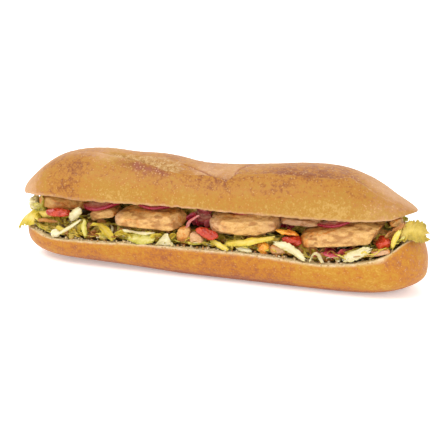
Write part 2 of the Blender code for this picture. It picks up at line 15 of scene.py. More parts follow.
import bmesh
import bpy
import numpy as np
from mathutils import Euler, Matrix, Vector


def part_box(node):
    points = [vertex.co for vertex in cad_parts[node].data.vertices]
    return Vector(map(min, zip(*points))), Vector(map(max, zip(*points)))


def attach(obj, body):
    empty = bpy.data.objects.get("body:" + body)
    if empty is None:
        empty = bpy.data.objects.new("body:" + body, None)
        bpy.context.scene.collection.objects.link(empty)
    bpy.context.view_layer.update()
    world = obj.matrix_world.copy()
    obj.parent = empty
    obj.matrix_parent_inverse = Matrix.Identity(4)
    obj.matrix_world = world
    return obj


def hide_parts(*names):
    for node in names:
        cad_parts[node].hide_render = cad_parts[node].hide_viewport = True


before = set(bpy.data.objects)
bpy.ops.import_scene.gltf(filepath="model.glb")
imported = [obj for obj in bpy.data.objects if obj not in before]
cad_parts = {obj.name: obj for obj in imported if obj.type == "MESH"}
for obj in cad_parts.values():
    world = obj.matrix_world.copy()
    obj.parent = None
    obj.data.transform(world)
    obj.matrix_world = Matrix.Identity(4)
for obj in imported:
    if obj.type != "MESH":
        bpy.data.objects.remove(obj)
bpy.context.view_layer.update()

log = logging.getLogger("sandwich")
Array = np.ndarray
Colour = tuple[float, float, float]
Point = tuple[float, float, float]
Pair = tuple[float, float]
Rows = Sequence[Pair]
Traits = dict[str, Array]

MM = 0.001
HALF_WIDTH = 33.0
TOP_TILT = math.radians(4.0)
TOP_LEFT, TOP_RIGHT = -141.0, 133.0
ALL_BITS = 0xFFFFFFFF

# From the loaf's own place to the frame's, in metres: the middles of two solids whose places are known
SHIFT = np.array((sum(corner[0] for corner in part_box("bread_top")) / 2.0 - (TOP_LEFT + TOP_RIGHT) / 2.0 * MM,
                  sum(corner[1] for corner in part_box("bread_bottom")) / 2.0, 0.0))

# Heights along the loaf, as rows of (X, height)
# The knife's cut, which climbs at the right end
CUT: Rows = ((-140, 24.0), (-126, 22.6), (-114, 19.9), (-104, 19.2), (-90, 19.8), (-70, 20.6), (-50, 21.9),
             (-20, 22.4), (10, 23.0), (40, 23.3), (60, 22.2), (76, 21.3), (90, 22.2), (102, 24.2), (113, 27.0),
             (122, 31.2), (130, 35.4), (136, 37.0), (140, 36.6))
# The underside, which leaves the table towards both ends
UNDERSIDE: Rows = ((-140, 1.5), (-115, 1.8), (-80, 2.2), (-52, 1.6), (-32, 0.7), (-18, 0.1), (-10, 0.0),
                   (10, 0.0), (105, 0.0), (125, 0.5), (140, 1.0))
# The widest part of the bottom half's section
BELLY: Rows = ((-140, 26.0), (-110, 30.0), (-60, 32.5), (80, 32.5), (112, 30.0), (140, 25.0))
# The top half's lower edge
TOP_EDGE: Rows = ((-141, 45.5), (-130, 46.0), (-119, 46.6), (-109, 47.2), (-98, 47.1), (-88, 46.6), (-70, 46.6),
                  (-43, 47.2), (-10, 47.6), (20, 47.3), (50, 47.3), (80, 47.2), (100, 47.5), (111, 47.9),
                  (120, 48.9), (125, 50.4), (129, 51.6), (132, 52.0))
# The top half's dome over that edge
DOME: Rows = ((-139, 15.1), (-120, 25.6), (-100, 30.8), (-80, 32.5), (-60, 30.6), (-35, 29.7), (-10, 25.6),
              (15, 26.0), (40, 28.0), (65, 30.6), (85, 30.8), (100, 27.8), (112, 23.1), (122, 16.2), (132, 5.4))
# The top of the bed of lettuce
BED_TOP: Rows = ((-129, 27.0), (-119, 32.0), (-108, 34.2), (-92, 33.0), (-78, 30.6), (-60, 29.0), (-30, 29.4),
                 (0, 30.2), (20, 30.8), (45, 31.2), (62, 30.6), (76, 28.6), (92, 29.2), (108, 33.4), (125, 36.8))

# The long slash in the top crust, narrowed by a bridge at X = 22.
# Each row is (X, front lip, far edge, depth), with the lip and the edge in degrees from the crest.
SLASH: Array = np.array((
    (-80, -24, -14, 0.0), (-68, -27, -2, 1.0), (-58, -29, 8, 1.8), (-45, -36, 14, 2.3), (-27, -45, 18, 2.6),
    (-12, -44, 22, 2.6), (2, -43, 24, 2.6), (12, -47, 24, 2.6), (17, -52, 18, 2.3), (20, -37, 6, 1.0),
    (24, -35, 2, 0.9), (33, -37, 8, 1.6), (45, -36, 14, 1.9), (56, -40, 18, 2.0), (67, -43, 20, 2.0),
    (80, -42, 18, 2.0), (87, -38, 14, 1.8), (92, -30, 8, 1.6), (97, -33, 0, 1.4), (102, -36, -12, 0.9),
    (110, -44, -32, 0.0),
))


class Slot(Enum):
    """The record's material slots, one for each kind of piece."""

    CRUST = "crust"
    LETTUCE = "lettuce"
    CABBAGE = "cabbage"
    FILLET = "fillet"
    ONION = "onion"
    TOMATO = "tomato"
    PEPPER = "pepper"


class LeafKind(Enum):
    """How a leaf, a shred or the bed's core looks."""

    YELLOW = "yellow"
    GREEN = "green"
    OLIVE = "olive"
    CREAM = "cream"
    BROWNED = "browned"
    # The bed's core, painted in dark browns as shade.
    CORE_SHADE = "dark"
    ONION = "onion"


# Numbers over arrays


def together(*arrays: Array) -> Array:
    """The arrays stretched to one shape and stacked along a new last axis, as coordinates are into points."""
    return np.stack(np.broadcast_arrays(*arrays), axis=-1)


def signed_power(value: Array, power: float) -> Array:
    """value raised to power, keeping its sign."""
    return np.sign(value) * np.abs(value) ** power


def smooth_step(value: Array) -> Array:
    """A ramp from 0 to 1 with level ends, 3t^2 - 2t^3."""
    value = np.clip(value, 0.0, 1.0)
    return value * value * (3.0 - 2.0 * value)


def hill(value: Array, middle: float, reach: float) -> Array:
    """A bell curve, exp(-((value - middle) / reach)^2)."""
    return np.exp(-(((value - middle) / reach) ** 2))


def waves(x: Array, y: Array, z: Array, seed: float = 0.0) -> Array:
    """Three crossing waves added up to a number between -1 and 1, the same as in the part's solids."""
    first = np.sin(2.6 * x + 1.7 * y + 3.1 * seed)
    second = np.sin(2.2 * y - 1.9 * z + 1.7 * seed)
    third = np.sin(2.4 * z + 1.5 * x + 2.3 * seed)
    return (first + second + third) / 3.0


def lattice(cell: Array, seed: int) -> Array:
    """A repeatable draw between 0 and 1 for each whole-numbered cell of space, by mixing its bits with primes."""
    along_axes = [cell[..., axis] * prime for axis, prime in enumerate((73856093, 19349663, 83492791))]
    mixed = along_axes[0] ^ along_axes[1] ^ along_axes[2] ^ (seed + 1) * 668265263
    mixed = (mixed ^ (mixed >> 13)) * 1274126177 & ALL_BITS
    mixed = (mixed ^ (mixed >> 15)) * 2246822519 & ALL_BITS
    return (mixed ^ (mixed >> 16)) / float(ALL_BITS)


def soft_noise(place: Array, seed: int) -> Array:
    """Lattice draws blended smoothly between the eight corners of each cell, from -1 to 1."""
    cell = np.floor(place).astype(np.int64)
    share = smooth_step(place - cell)
    total = np.zeros(place.shape[:-1])
    for corner in product((0, 1), repeat=3):
        weight = np.prod(np.where(corner, share, 1.0 - share), axis=-1)
        total += weight * lattice(cell + corner, seed)
    return 2.0 * total - 1.0


def fractal(place: Array, size: Union[float, Point], octaves: int = 3, seed: int = 0) -> Array:
    """Layers of soft noise, each half the size and half the strength of the last.

    Args:
        place: Points in millimetres, with X, Y, Z last.
        size: Size of the largest layer's bumps in millimetres, along each axis.
        octaves: Number of layers.
        seed: Which draw is taken.

    Returns:
        One number for each point, about -1 to 1.
    """
    total, strength, reach = np.zeros(place.shape[:-1]), 1.0, 0.0
    for octave in range(octaves):
        total += strength * soft_noise(place * (2.0 ** octave) / np.array(size), seed + 7 * octave)
        reach += strength
        strength *= 0.5
    return total / reach * 1.5


def grains(place: Array, size: float, seed: int = 0) -> tuple[Array, Array]:
    """Distance to the nearest of one scattered seed point per cell, in cell sizes, and that seed's own draw.

    Args:
        place: Points in millimetres, with X, Y, Z last.
        size: Size of a cell in millimetres.
        seed: Which draw is taken.

    Returns:
        The distances and the draws.
    """
    scaled = place / size
    cell = np.floor(scaled).astype(np.int64)
    nearest = np.full(place.shape[:-1], 9.0)
    draw = np.zeros(place.shape[:-1])
    for step in product((-1, 0, 1), repeat=3):
        other = cell + step
        centre = other + np.stack([lattice(other, seed + axis) for axis in (11, 23, 37)], axis=-1)
        distance = np.linalg.norm(scaled - centre, axis=-1)
        closer = distance < nearest
        draw = np.where(closer, lattice(other, seed + 51), draw)
        nearest = np.where(closer, distance, nearest)
    return nearest, draw


def stations(left: float, right: float, count: int) -> Array:
    """Places along X, closer together towards both ends, from one tip to the other."""
    middle, reach = (left + right) / 2.0, (right - left) / 2.0
    angles = np.linspace(0.0, math.pi, count)
    return middle + reach * (0.62 * -np.cos(angles) + 0.38 * np.linspace(-1.0, 1.0, count))


def along(x: Array, rows: Rows) -> Array:
    """A smooth curve through rows of (X, height): cubic pieces, with slopes from the neighbouring rows."""
    at, height = np.array(rows, float).T
    slope = np.gradient(height, at)
    x = np.clip(x, at[0], at[-1])
    i = np.clip(np.searchsorted(at, x) - 1, 0, len(at) - 2)
    width = at[i + 1] - at[i]
    s = (x - at[i]) / width
    start = height[i] * (1 + 2 * s) * (1 - s) ** 2 + slope[i] * width * s * (1 - s) ** 2
    end = height[i + 1] * s * s * (3 - 2 * s) + slope[i + 1] * width * s * s * (s - 1)
    return start + end


def plan_share(x: Array, left: float, right: float, bluntness: Pair) -> Array:
    """The loaf's width at x as a share of its full width, sqrt(1 - |t|^n), seen from above."""
    t = (x - (left + right) / 2.0) / ((right - left) / 2.0)
    return np.sqrt(np.maximum(1.0 - np.abs(t) ** np.where(t < 0.0, bluntness[0], bluntness[1]), 0.0))


def path_points(points: Sequence[Point], count: int) -> Array:
    """count places on the Catmull-Rom curve through the given points, spread evenly from first to last."""
    knots = np.array(points, float)
    padded = np.vstack([2 * knots[0] - knots[1], knots, 2 * knots[-1] - knots[-2]])
    t = np.linspace(0.0, len(knots) - 1.0, count)
    i = np.minimum(t.astype(int), len(knots) - 2)
    s = (t - i)[:, None]
    a, b, c, d = (padded[i + k] for k in range(4))
    bend = (2 * a - 5 * b + 4 * c - d) * s * s + (3 * b - a - 3 * c + d) * s ** 3
    return 0.5 * (2 * b + (c - a) * s + bend)


def unit(vectors: Array) -> Array:
    """The vectors at length one."""
    return vectors / np.maximum(np.linalg.norm(vectors, axis=-1, keepdims=True), 1e-9)


def turn_matrix(turn: Point) -> Array:
    """The rotation by these degrees about X, Y and Z."""
    return np.array(Euler([math.radians(angle) for angle in turn]).to_matrix())


# Meshes from arrays


def grid_faces(rows: int, columns: int, wrapped: bool = True) -> Array:
    """Corner numbers of the quads between neighbouring points of a grid, whose rows are rings where wrapped."""
    r = np.arange(rows - 1)[:, None]
    c = np.arange(columns if wrapped else columns - 1)[None, :]
    c2 = (c + 1) % columns
    corners = (r * columns + c, r * columns + c2, (r + 1) * columns + c2, (r + 1) * columns + c)
    return together(*corners).reshape(-1, 4)


def facing_out(places: Array, faces: Array) -> Array:
    """The faces, turned round if the volume they enclose, the sum of their corner pyramids, is negative."""
    a, b, c, d = (places[faces[:, k]] for k in range(4))
    volume = np.einsum("ij,ij->i", a, np.cross(b, c)).sum() + np.einsum("ij,ij->i", a, np.cross(c, d)).sum()
    return faces[:, ::-1] if volume < 0.0 else faces


def make_piece(name: str, places: Array, faces: Array, traits: Optional[Traits] = None) -> bpy.types.Object:
    """Makes a mesh object from points in the loaf's millimetres.

    Args:
        name: The piece's name.
        places: Points, one row each.
        faces: Corner numbers, four to a row. A triangle repeats its last corner.
        traits: Numbers kept with each point for the finish to read.

    Returns:
        The object, at the origin, with doubled points merged.
    """
    if not np.isfinite(places).all():
        raise ValueError(f"{name} has points without a place")
    mesh = bpy.data.meshes.new(name)
    mesh.vertices.add(len(places))
    mesh.vertices.foreach_set("co", (places * MM + SHIFT).astype(np.float32).ravel())
    count = np.where(faces[:, 2] == faces[:, 3], 3, 4)
    keep = np.ones(faces.shape, bool)
    keep[:, 3] = count == 4
    corners = faces[keep]
    mesh.loops.add(len(corners))
    mesh.loops.foreach_set("vertex_index", corners.astype(np.int32))
    mesh.polygons.add(len(faces))
    mesh.polygons.foreach_set("loop_start", (np.cumsum(count) - count).astype(np.int32))
    mesh.update(calc_edges=True)
    for trait, values in (traits or {}).items():
        layer = mesh.attributes.new(trait, "FLOAT", "POINT")
        layer.data.foreach_set("value", np.ascontiguousarray(values, np.float32).ravel())
    merged = bmesh.new()
    merged.from_mesh(mesh)
    bmesh.ops.remove_doubles(merged, verts=merged.verts, dist=1e-6)
    merged.to_mesh(mesh)
    merged.free()
    mesh.validate()
    mesh.shade_smooth()
    piece = bpy.data.objects.new(name, mesh)
    bpy.context.scene.collection.objects.link(piece)
    return piece


def make_loft(name: str, places: Array, traits: Traits) -> bpy.types.Object:
    """Makes a closed piece from a grid of points whose rows are rings, its end rings drawn together."""
    flat = places.reshape(-1, 3)
    return make_piece(name, flat, facing_out(flat, grid_faces(*places.shape[:2])), traits)


def place_piece(piece: bpy.types.Object, finish: bpy.types.Material, slot: Slot,
                *nodes: str) -> bpy.types.Object:
    """Gives a piece its finish, lets it stand for its solids and makes it ride on the part's one body."""
    piece.data.materials.clear()
    piece.data.materials.append(finish)
    if nodes:
        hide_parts(*nodes)
    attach(piece, "root")
    return piece


# Shader values


class Value:
    """A number in a material's nodes, with the arithmetic that the finishes use."""

    def __init__(self, paint: "Paint", socket: bpy.types.NodeSocket) -> None:
        """Wraps an output socket."""
        self.paint = paint
        self.socket = socket

    def __add__(self, other: "Number") -> "Value":
        """self + other."""
        return self.paint.math("ADD", self, other)

    __radd__ = __add__

    def __sub__(self, other: "Number") -> "Value":
        """self - other."""
        return self.paint.math("SUBTRACT", self, other)

    def __mul__(self, other: "Number") -> "Value":
        """self * other."""
        return self.paint.math("MULTIPLY", self, other)

    __rmul__ = __mul__

    def clamp(self) -> "Value":
        """self, held between 0 and 1."""
        return self.paint.math("ADD", self, 0.0, clamped=True)

    def ramp(self, low: float, high: float) -> "Value":
        """0 below low, 1 above high and smooth between them. With low above high it falls instead."""
        settings = {"interpolation_type": "SMOOTHSTEP"}
        values = {0: self, 1: min(low, high), 2: max(low, high), 3: 0.0, 4: 1.0}
        if low > high:
            values.update({3: 1.0, 4: 0.0})
        return Value(self.paint, self.paint.node("ShaderNodeMapRange", settings, values).outputs[0])


Number = Union[Value, float]


class Paint:
    """One procedural material under construction, with its patterns in millimetres of the real thing."""

    def __init__(self, name: str) -> None:
        """Starts an empty material with that name."""
        self.material = bpy.data.materials.new(name)
        self.material.use_nodes = True
        self.tree = self.material.node_tree
        self.tree.nodes.clear()
        self.place = self.node("ShaderNodeTexCoord", {}, {}).outputs["Object"]

    def node(self, kind: str, settings: Mapping[str, object],
             values: Mapping[Union[str, int], object]) -> bpy.types.Node:
        """Adds a node.

        Args:
            kind: The node's type.
            settings: Its own settings, set first. stops is a ramp's list of (place, colour).
            values: A number, colour, Value or output socket for each input, by name or number.

        Returns:
            The node.
        """
        made = self.tree.nodes.new(kind)
        for key, setting in settings.items():
            if key == "stops":
                ramp = made.color_ramp
                while len(ramp.elements) < len(setting):
                    ramp.elements.new(1.0)
                for element, (at, colour) in zip(ramp.elements, setting):
                    element.position = at
                    element.color = (*colour, 1.0)
            else:
                setattr(made, key, setting)
        for key, value in values.items():
            if isinstance(value, Value):
                value = value.socket
            if isinstance(value, bpy.types.NodeSocket):
                self.tree.links.new(value, made.inputs[key])
            elif isinstance(value, tuple) and len(value) == 3 and made.inputs[key].type == "RGBA":
                made.inputs[key].default_value = (*value, 1.0)
            else:
                made.inputs[key].default_value = value
        return made

    def math(self, operation: str, first: Number, second: Number, clamped: bool = False) -> Value:
        """One Math node."""
        settings = {"operation": operation, "use_clamp": clamped}
        return Value(self, self.node("ShaderNodeMath", settings, {0: first, 1: second}).outputs[0])

    def trait(self, name: str) -> Value:
        """A number that the mesh keeps with its points."""
        return Value(self, self.node("ShaderNodeAttribute", {"attribute_name": name}, {}).outputs["Fac"])

    def noise(self, size: float, detail: float = 3.0, rough: float = 0.55,
              stretch: Optional[Point] = None) -> Value:
        """Cloudy noise, about 0.25 to 0.75.

        Args:
            size: Size of its bumps in millimetres.
            detail: Number of finer layers.
            rough: Strength of the finer layers.
            stretch: Factors that the place is squeezed by along each axis. Under 1 draws the bumps out.

        Returns:
            The noise.
        """
        where = self.place
        if stretch:
            where = self.node("ShaderNodeMapping", {}, {"Vector": where, "Scale": stretch}).outputs[0]
        values = {"Vector": where, "Scale": 1.0 / (size * MM), "Detail": detail, "Roughness": rough}
        return Value(self, self.node("ShaderNodeTexNoise", {}, values).outputs[0])

    def cells(self, size: float) -> Value:
        """Distance from the middle of scattered cells of the given size in millimetres."""
        values = {"Vector": self.place, "Scale": 1.0 / (size * MM)}
        return Value(self, self.node("ShaderNodeTexVoronoi", {"feature": "F1"}, values).outputs["Distance"])

    def mix(self, share: Number, first: object, second: object) -> bpy.types.NodeSocket:
        """A colour between first and second."""
        settings = {"data_type": "RGBA", "blend_type": "MIX", "clamp_factor": True}
        return self.node("ShaderNodeMix", settings, {0: share, 6: first, 7: second}).outputs[2]

    def colours(self, along: Value, *stops: tuple[float, Colour]) -> bpy.types.NodeSocket:
        """A colour ramp."""
        return self.node("ShaderNodeValToRGB", {"stops": stops}, {0: along}).outputs[0]

    def bump(self, height: Value, depth: float,
             under: Optional[bpy.types.NodeSocket] = None) -> bpy.types.NodeSocket:
        """A normal tilted by a height of 0 to 1 that stands for depth millimetres."""
        values = {"Strength": 1.0, "Distance": depth * MM, "Height": height}
        if under is not None:
            values["Normal"] = under
        return self.node("ShaderNodeBump", {}, values).outputs[0]

    def finish(self, colour: object, rough: Number, normal: bpy.types.NodeSocket,
               **constant: object) -> bpy.types.Material:
        """Closes the material with a Principled shader.

        Args:
            colour: Its base colour.
            rough: Its roughness.
            normal: Its normal.
            **constant: Other inputs, with _ for a space, each the same all over.

        Returns:
            The material.
        """
        values = {"Base Color": colour, "Roughness": rough, "Normal": normal}
        values.update({key.replace("_", " "): value for key, value in constant.items()})
        shader = self.node("ShaderNodeBsdfPrincipled", {}, values)
        self.node("ShaderNodeOutputMaterial", {}, {0: shader.outputs[0]})
        return self.material


# Finishes


@dataclass(frozen=True)
class CrustFinish:
    """Baked crust, from yellow through gold to brown, pinkish where it is floury, and an open crumb at the cut."""

    name: str
    straw: Colour = (0.480, 0.275, 0.070)
    yellow: Colour = (0.390, 0.200, 0.032)
    gold: Colour = (0.405, 0.172, 0.030)
    brown: Colour = (0.22, 0.065, 0.020)
    flour: Colour = (0.57, 0.335, 0.185)
    speck: Colour = (0.60, 0.38, 0.14)
    crumb: Colour = (0.60, 0.44, 0.21)
    crumb_light: Colour = (0.74, 0.60, 0.37)
    # The pore colour is painted shade inside the crumb's holes.
    pore: Colour = (0.34, 0.20, 0.08)
    # charred and char_speck also colour the painted shade in the slash.
    charred: Colour = (0.27, 0.085, 0.045)
    char_speck: Colour = (0.52, 0.30, 0.15)
    bloom: tuple[Colour, Colour, Colour, Colour] = ((0.17, 0.075, 0.018), (0.38, 0.19, 0.05), (0.48, 0.29, 0.11),
                                                    (0.58, 0.40, 0.21))

    def material(self) -> bpy.types.Material:
        """Mixes the crust's colours by the mesh's traits and by specks of several sizes, with painted shade in the
        crumb's pores.
        """
        paint = Paint(self.name)
        bake, flour, bloom, crumb, char = (paint.trait(t) for t in ("bake", "flour", "bloom", "crumb", "char"))
        cloud = paint.noise(20.0, 3.0)
        mottle = paint.noise(4.0, 3.0, 0.6)
        fine = paint.noise(1.1, 2.0, 0.6)
        dots = paint.cells(1.7)
        patch = paint.noise(2.3, 2.0, 0.5)
        tone = bake + (cloud - 0.5) * 0.95 + (mottle - 0.5) * 1.10 + (patch - 0.5) * 0.75
        tone = tone + (fine - 0.5) * 0.95 + 0.14
        crust = paint.colours(tone.clamp(), (0.0, self.straw), (0.24, self.yellow), (0.60, self.gold),
                              (1.0, self.brown))
        dust = (flour + (mottle - 0.5) * 0.8 + (fine - 0.5) * 0.7).ramp(0.15, 1.0)
        crust = paint.mix(dust * 0.9, crust, self.flour)
        light = dots.ramp(0.36, 0.12) * mottle.ramp(0.46, 0.58) * (flour * 0.8 + bloom * 0.5 + 0.40)
        crust = paint.mix(light.clamp(), crust, self.speck)
        grainy = paint.colours((fine * 1.3 + mottle * 1.4 + cloud * 0.3 - 1.02).clamp(),
                               *zip((0.15, 0.38, 0.60, 0.85), self.bloom))
        crust = paint.mix((bloom + (mottle - 0.5) * 1.1).ramp(0.25, 0.95), crust, grainy)
        # These burnt browns colour charred spots and also the painted shade under the slash's lip and along its
        # crease.
        charred = paint.mix(mottle.ramp(0.4, 0.6), self.brown, self.charred)
        burnt_and_shade = paint.mix(dots.ramp(0.16, 0.42), self.char_speck, charred)
        crust = paint.mix((char * (mottle * 2.2 + fine * 1.2 - 0.75)).clamp(), crust, burnt_and_shade)
        # Painted shade: the crumb darkens inside its holes, drawn as cells of two sizes.
        pore_shade = paint.cells(2.6).ramp(0.10, 0.34) * paint.cells(1.0).ramp(0.05, 0.3)
        solid = paint.mix(mottle.ramp(0.35, 0.65), self.crumb, self.crumb_light)
        colour = paint.mix(crumb, crust, paint.mix(pore_shade, self.pore, solid))
        rough = 0.46 + dust * 0.20 + crumb * 0.28 + bloom * 0.15
        grit = (fine * 0.5 + dots * 0.5) * (0.22 + bloom * 0.6 + char * 0.3 + crumb * 0.8)
        normal = paint.bump(mottle, 0.35, paint.bump(grit, 0.45))
        return paint.finish(colour, rough, normal, Specular_IOR_Level=0.16)


@dataclass(frozen=True)
class FilletFinish:
    """Cooked pale meat: cream where it is cut, pinkish at some ends, golden and speckled where it met the pan."""

    name: str = "fillet_browned"
    flesh: Colour = (0.55, 0.275, 0.072)
    pale: Colour = (0.71, 0.435, 0.155)
    pink: Colour = (0.58, 0.335, 0.205)
    golden: Colour = (0.60, 0.215, 0.032)
    seared: Colour = (0.24, 0.062, 0.010)
    # The colour of the painted shade in the hollows of the relief.
    shade_in_hollows: Colour = (0.31, 0.11, 0.022)

    def material(self) -> bpy.types.Material:
        """Mixes flesh and browning by the mesh's traits, with painted shade in hollows, fibres along X and specks.
        """
        paint = Paint(self.name)
        sear, pink, hollow = paint.trait("sear"), paint.trait("pink"), paint.trait("hollow")
        fibre = paint.noise(1.8, 3.0, 0.6, (0.45, 1.0, 1.0))
        blotch = paint.noise(5.0, 3.0, 0.62)
        fine = paint.noise(0.7, 2.0, 0.6)
        flesh = paint.mix((fibre * 0.6 + fine * 0.4).ramp(0.36, 0.62), self.flesh, self.pale)
        flesh = paint.mix((pink + (blotch - 0.5) * 0.8).clamp(), flesh, self.pink)
        share = sear + (blotch - 0.5) * 1.25 + (fine - 0.5) * 0.8 + (fibre - 0.5) * 0.5 - 0.02
        share = share.clamp()
        brown = paint.colours(share, (0.30, self.flesh), (0.60, self.golden), (1.0, self.seared))
        colour = paint.mix(share.ramp(0.32, 0.66), flesh, brown)
        # Painted shade: the hollows of the relief darken.
        colour = paint.mix(hollow.ramp(0.50, 0.95) * 0.7, colour, self.shade_in_hollows)
        grain = paint.cells(1.5).ramp(0.30, 0.10)
        colour = paint.mix(grain * blotch.ramp(0.45, 0.60) * 0.6, colour, self.golden)
        normal = paint.bump(fibre * 0.5 + fine * 0.5 - grain * 0.3, 0.6)
        return paint.finish(colour, 0.40 + fine * 0.22, normal, Specular_IOR_Level=0.30,
                            Subsurface_Weight=0.10, Subsurface_Radius=(0.9, 0.45, 0.2), Subsurface_Scale=0.002)


@dataclass(frozen=True)
class LeafFinish:
    """A crisp leaf: pale along its rib, with fine veins, and greener towards its edge."""

    name: str
    rib: Colour
    blade: Colour
    edge: Colour

    def material(self) -> bpy.types.Material:
        """Mixes from rib to edge by the mesh's side trait, and shifts each strip's tone by its own draw."""
        paint = Paint(self.name)
        side, tone = paint.trait("side"), paint.trait("tone")
        cloud = paint.noise(5.0, 3.0)
        vein = paint.noise(1.1, 2.0, 0.5, (0.3, 1.0, 1.0))
        along = (side * 0.62 + (cloud - 0.5) * 1.2 + (tone - 0.5) * 0.75 + 0.12).clamp()
        colour = paint.colours(along, (0.0, self.rib), (0.45, self.blade), (1.0, self.edge))
        colour = paint.mix(vein.ramp(0.56, 0.70) * 0.45, colour, self.rib)
        normal = paint.bump(vein * 0.7 + cloud * 0.6, 0.5)
        return paint.finish(colour, 0.30 + vein * 0.18, normal, Specular_IOR_Level=0.5, Subsurface_Weight=0.2,
                            Subsurface_Radius=(0.8, 0.9, 0.25), Subsurface_Scale=0.0015)


@dataclass(frozen=True)
class OnionFinish:
    """A slice of red onion: clear pinkish flesh between magenta skins."""

    name: str = "onion_red"
    flesh: Colour = (0.76, 0.42, 0.36)
    pink: Colour = (0.58, 0.105, 0.105)
    skin: Colour = (0.32, 0.012, 0.032)

    def material(self) -> bpy.types.Material:
        """Darkens towards each layer's skin by the mesh's layer trait."""
        paint = Paint(self.name)
        layer = paint.trait("layer")
        cloud = paint.noise(4.0, 3.0)
        streak = paint.noise(0.9, 2.0, 0.5, (0.4, 1.0, 1.0))
        share = (layer + (cloud - 0.5) * 0.9 + (streak - 0.5) * 0.3 + 0.08).clamp()
        colour = paint.colours(share, (0.0, self.flesh), (0.5, self.pink), (0.9, self.skin))
        normal = paint.bump(streak + cloud * 0.5, 0.25)
        return paint.finish(colour, 0.22 + streak * 0.12, normal, Specular_IOR_Level=0.5,
                            Subsurface_Weight=0.2, Subsurface_Radius=(1.0, 0.4, 0.4), Subsurface_Scale=0.002)


@dataclass(frozen=True)
class WetFinish:
    """Wet flesh of a tomato or pepper, brighter in patches, with a few pale fibres."""

    name: str
    deep: Colour
    bright: Colour
    pale: Colour

    def material(self) -> bpy.types.Material:
        """Mixes the flesh's reds by clouds and fibres under a wet coat."""
        paint = Paint(self.name)
        cloud = paint.noise(4.5, 3.0)
        fibre = paint.noise(1.2, 2.0, 0.5)
        colour = paint.colours((cloud * 1.2 - 0.1).clamp(), (0.25, self.deep), (0.62, self.bright))
        colour = paint.mix(fibre.ramp(0.60, 0.75) * 0.6, colour, self.pale)
        normal = paint.bump(cloud * 0.6 + fibre * 0.5, 0.7)
        return paint.finish(colour, 0.14 + fibre * 0.16, normal, Specular_IOR_Level=0.55,
                            Subsurface_Weight=0.15, Subsurface_Radius=(1.0, 0.25, 0.12), Subsurface_Scale=0.002)


LEAF_FINISHES: dict[LeafKind, Union[LeafFinish, OnionFinish]] = {
    LeafKind.GREEN: LeafFinish("lettuce_green", (0.66, 0.57, 0.20), (0.53, 0.45, 0.060), (0.35, 0.31, 0.022)),
    LeafKind.YELLOW: LeafFinish("lettuce_yellow", (0.72, 0.58, 0.16), (0.64, 0.47, 0.038), (0.44, 0.34, 0.018)),
    LeafKind.OLIVE: LeafFinish("lettuce_olive", (0.67, 0.50, 0.10), (0.50, 0.34, 0.030), (0.24, 0.165, 0.012)),
    LeafKind.CREAM: LeafFinish("cabbage_cream", (0.74, 0.67, 0.44), (0.65, 0.56, 0.30), (0.50, 0.42, 0.13)),
    LeafKind.BROWNED: LeafFinish("leaf_browned", (0.60, 0.34, 0.11), (0.48, 0.19, 0.038), (0.27, 0.09, 0.013)),
    # The bed's core is painted in dark browns, for the shade deep inside the filling.
    LeafKind.CORE_SHADE: LeafFinish("lettuce_core_shade", (0.36, 0.22, 0.06), (0.24, 0.13, 0.026), (0.12, 0.060, 0.010)),
    LeafKind.ONION: OnionFinish(),
}


# The bread


def crust_and_crumb(crust: Array, crumb: float, columns: int) -> Array:
    """A trait of each section: the crust's numbers, held between 0 and 1, then one for its whole crumb face."""
    return np.concatenate((np.clip(crust, 0.0, 1.0), np.full((len(crust), columns), crumb)), axis=1)


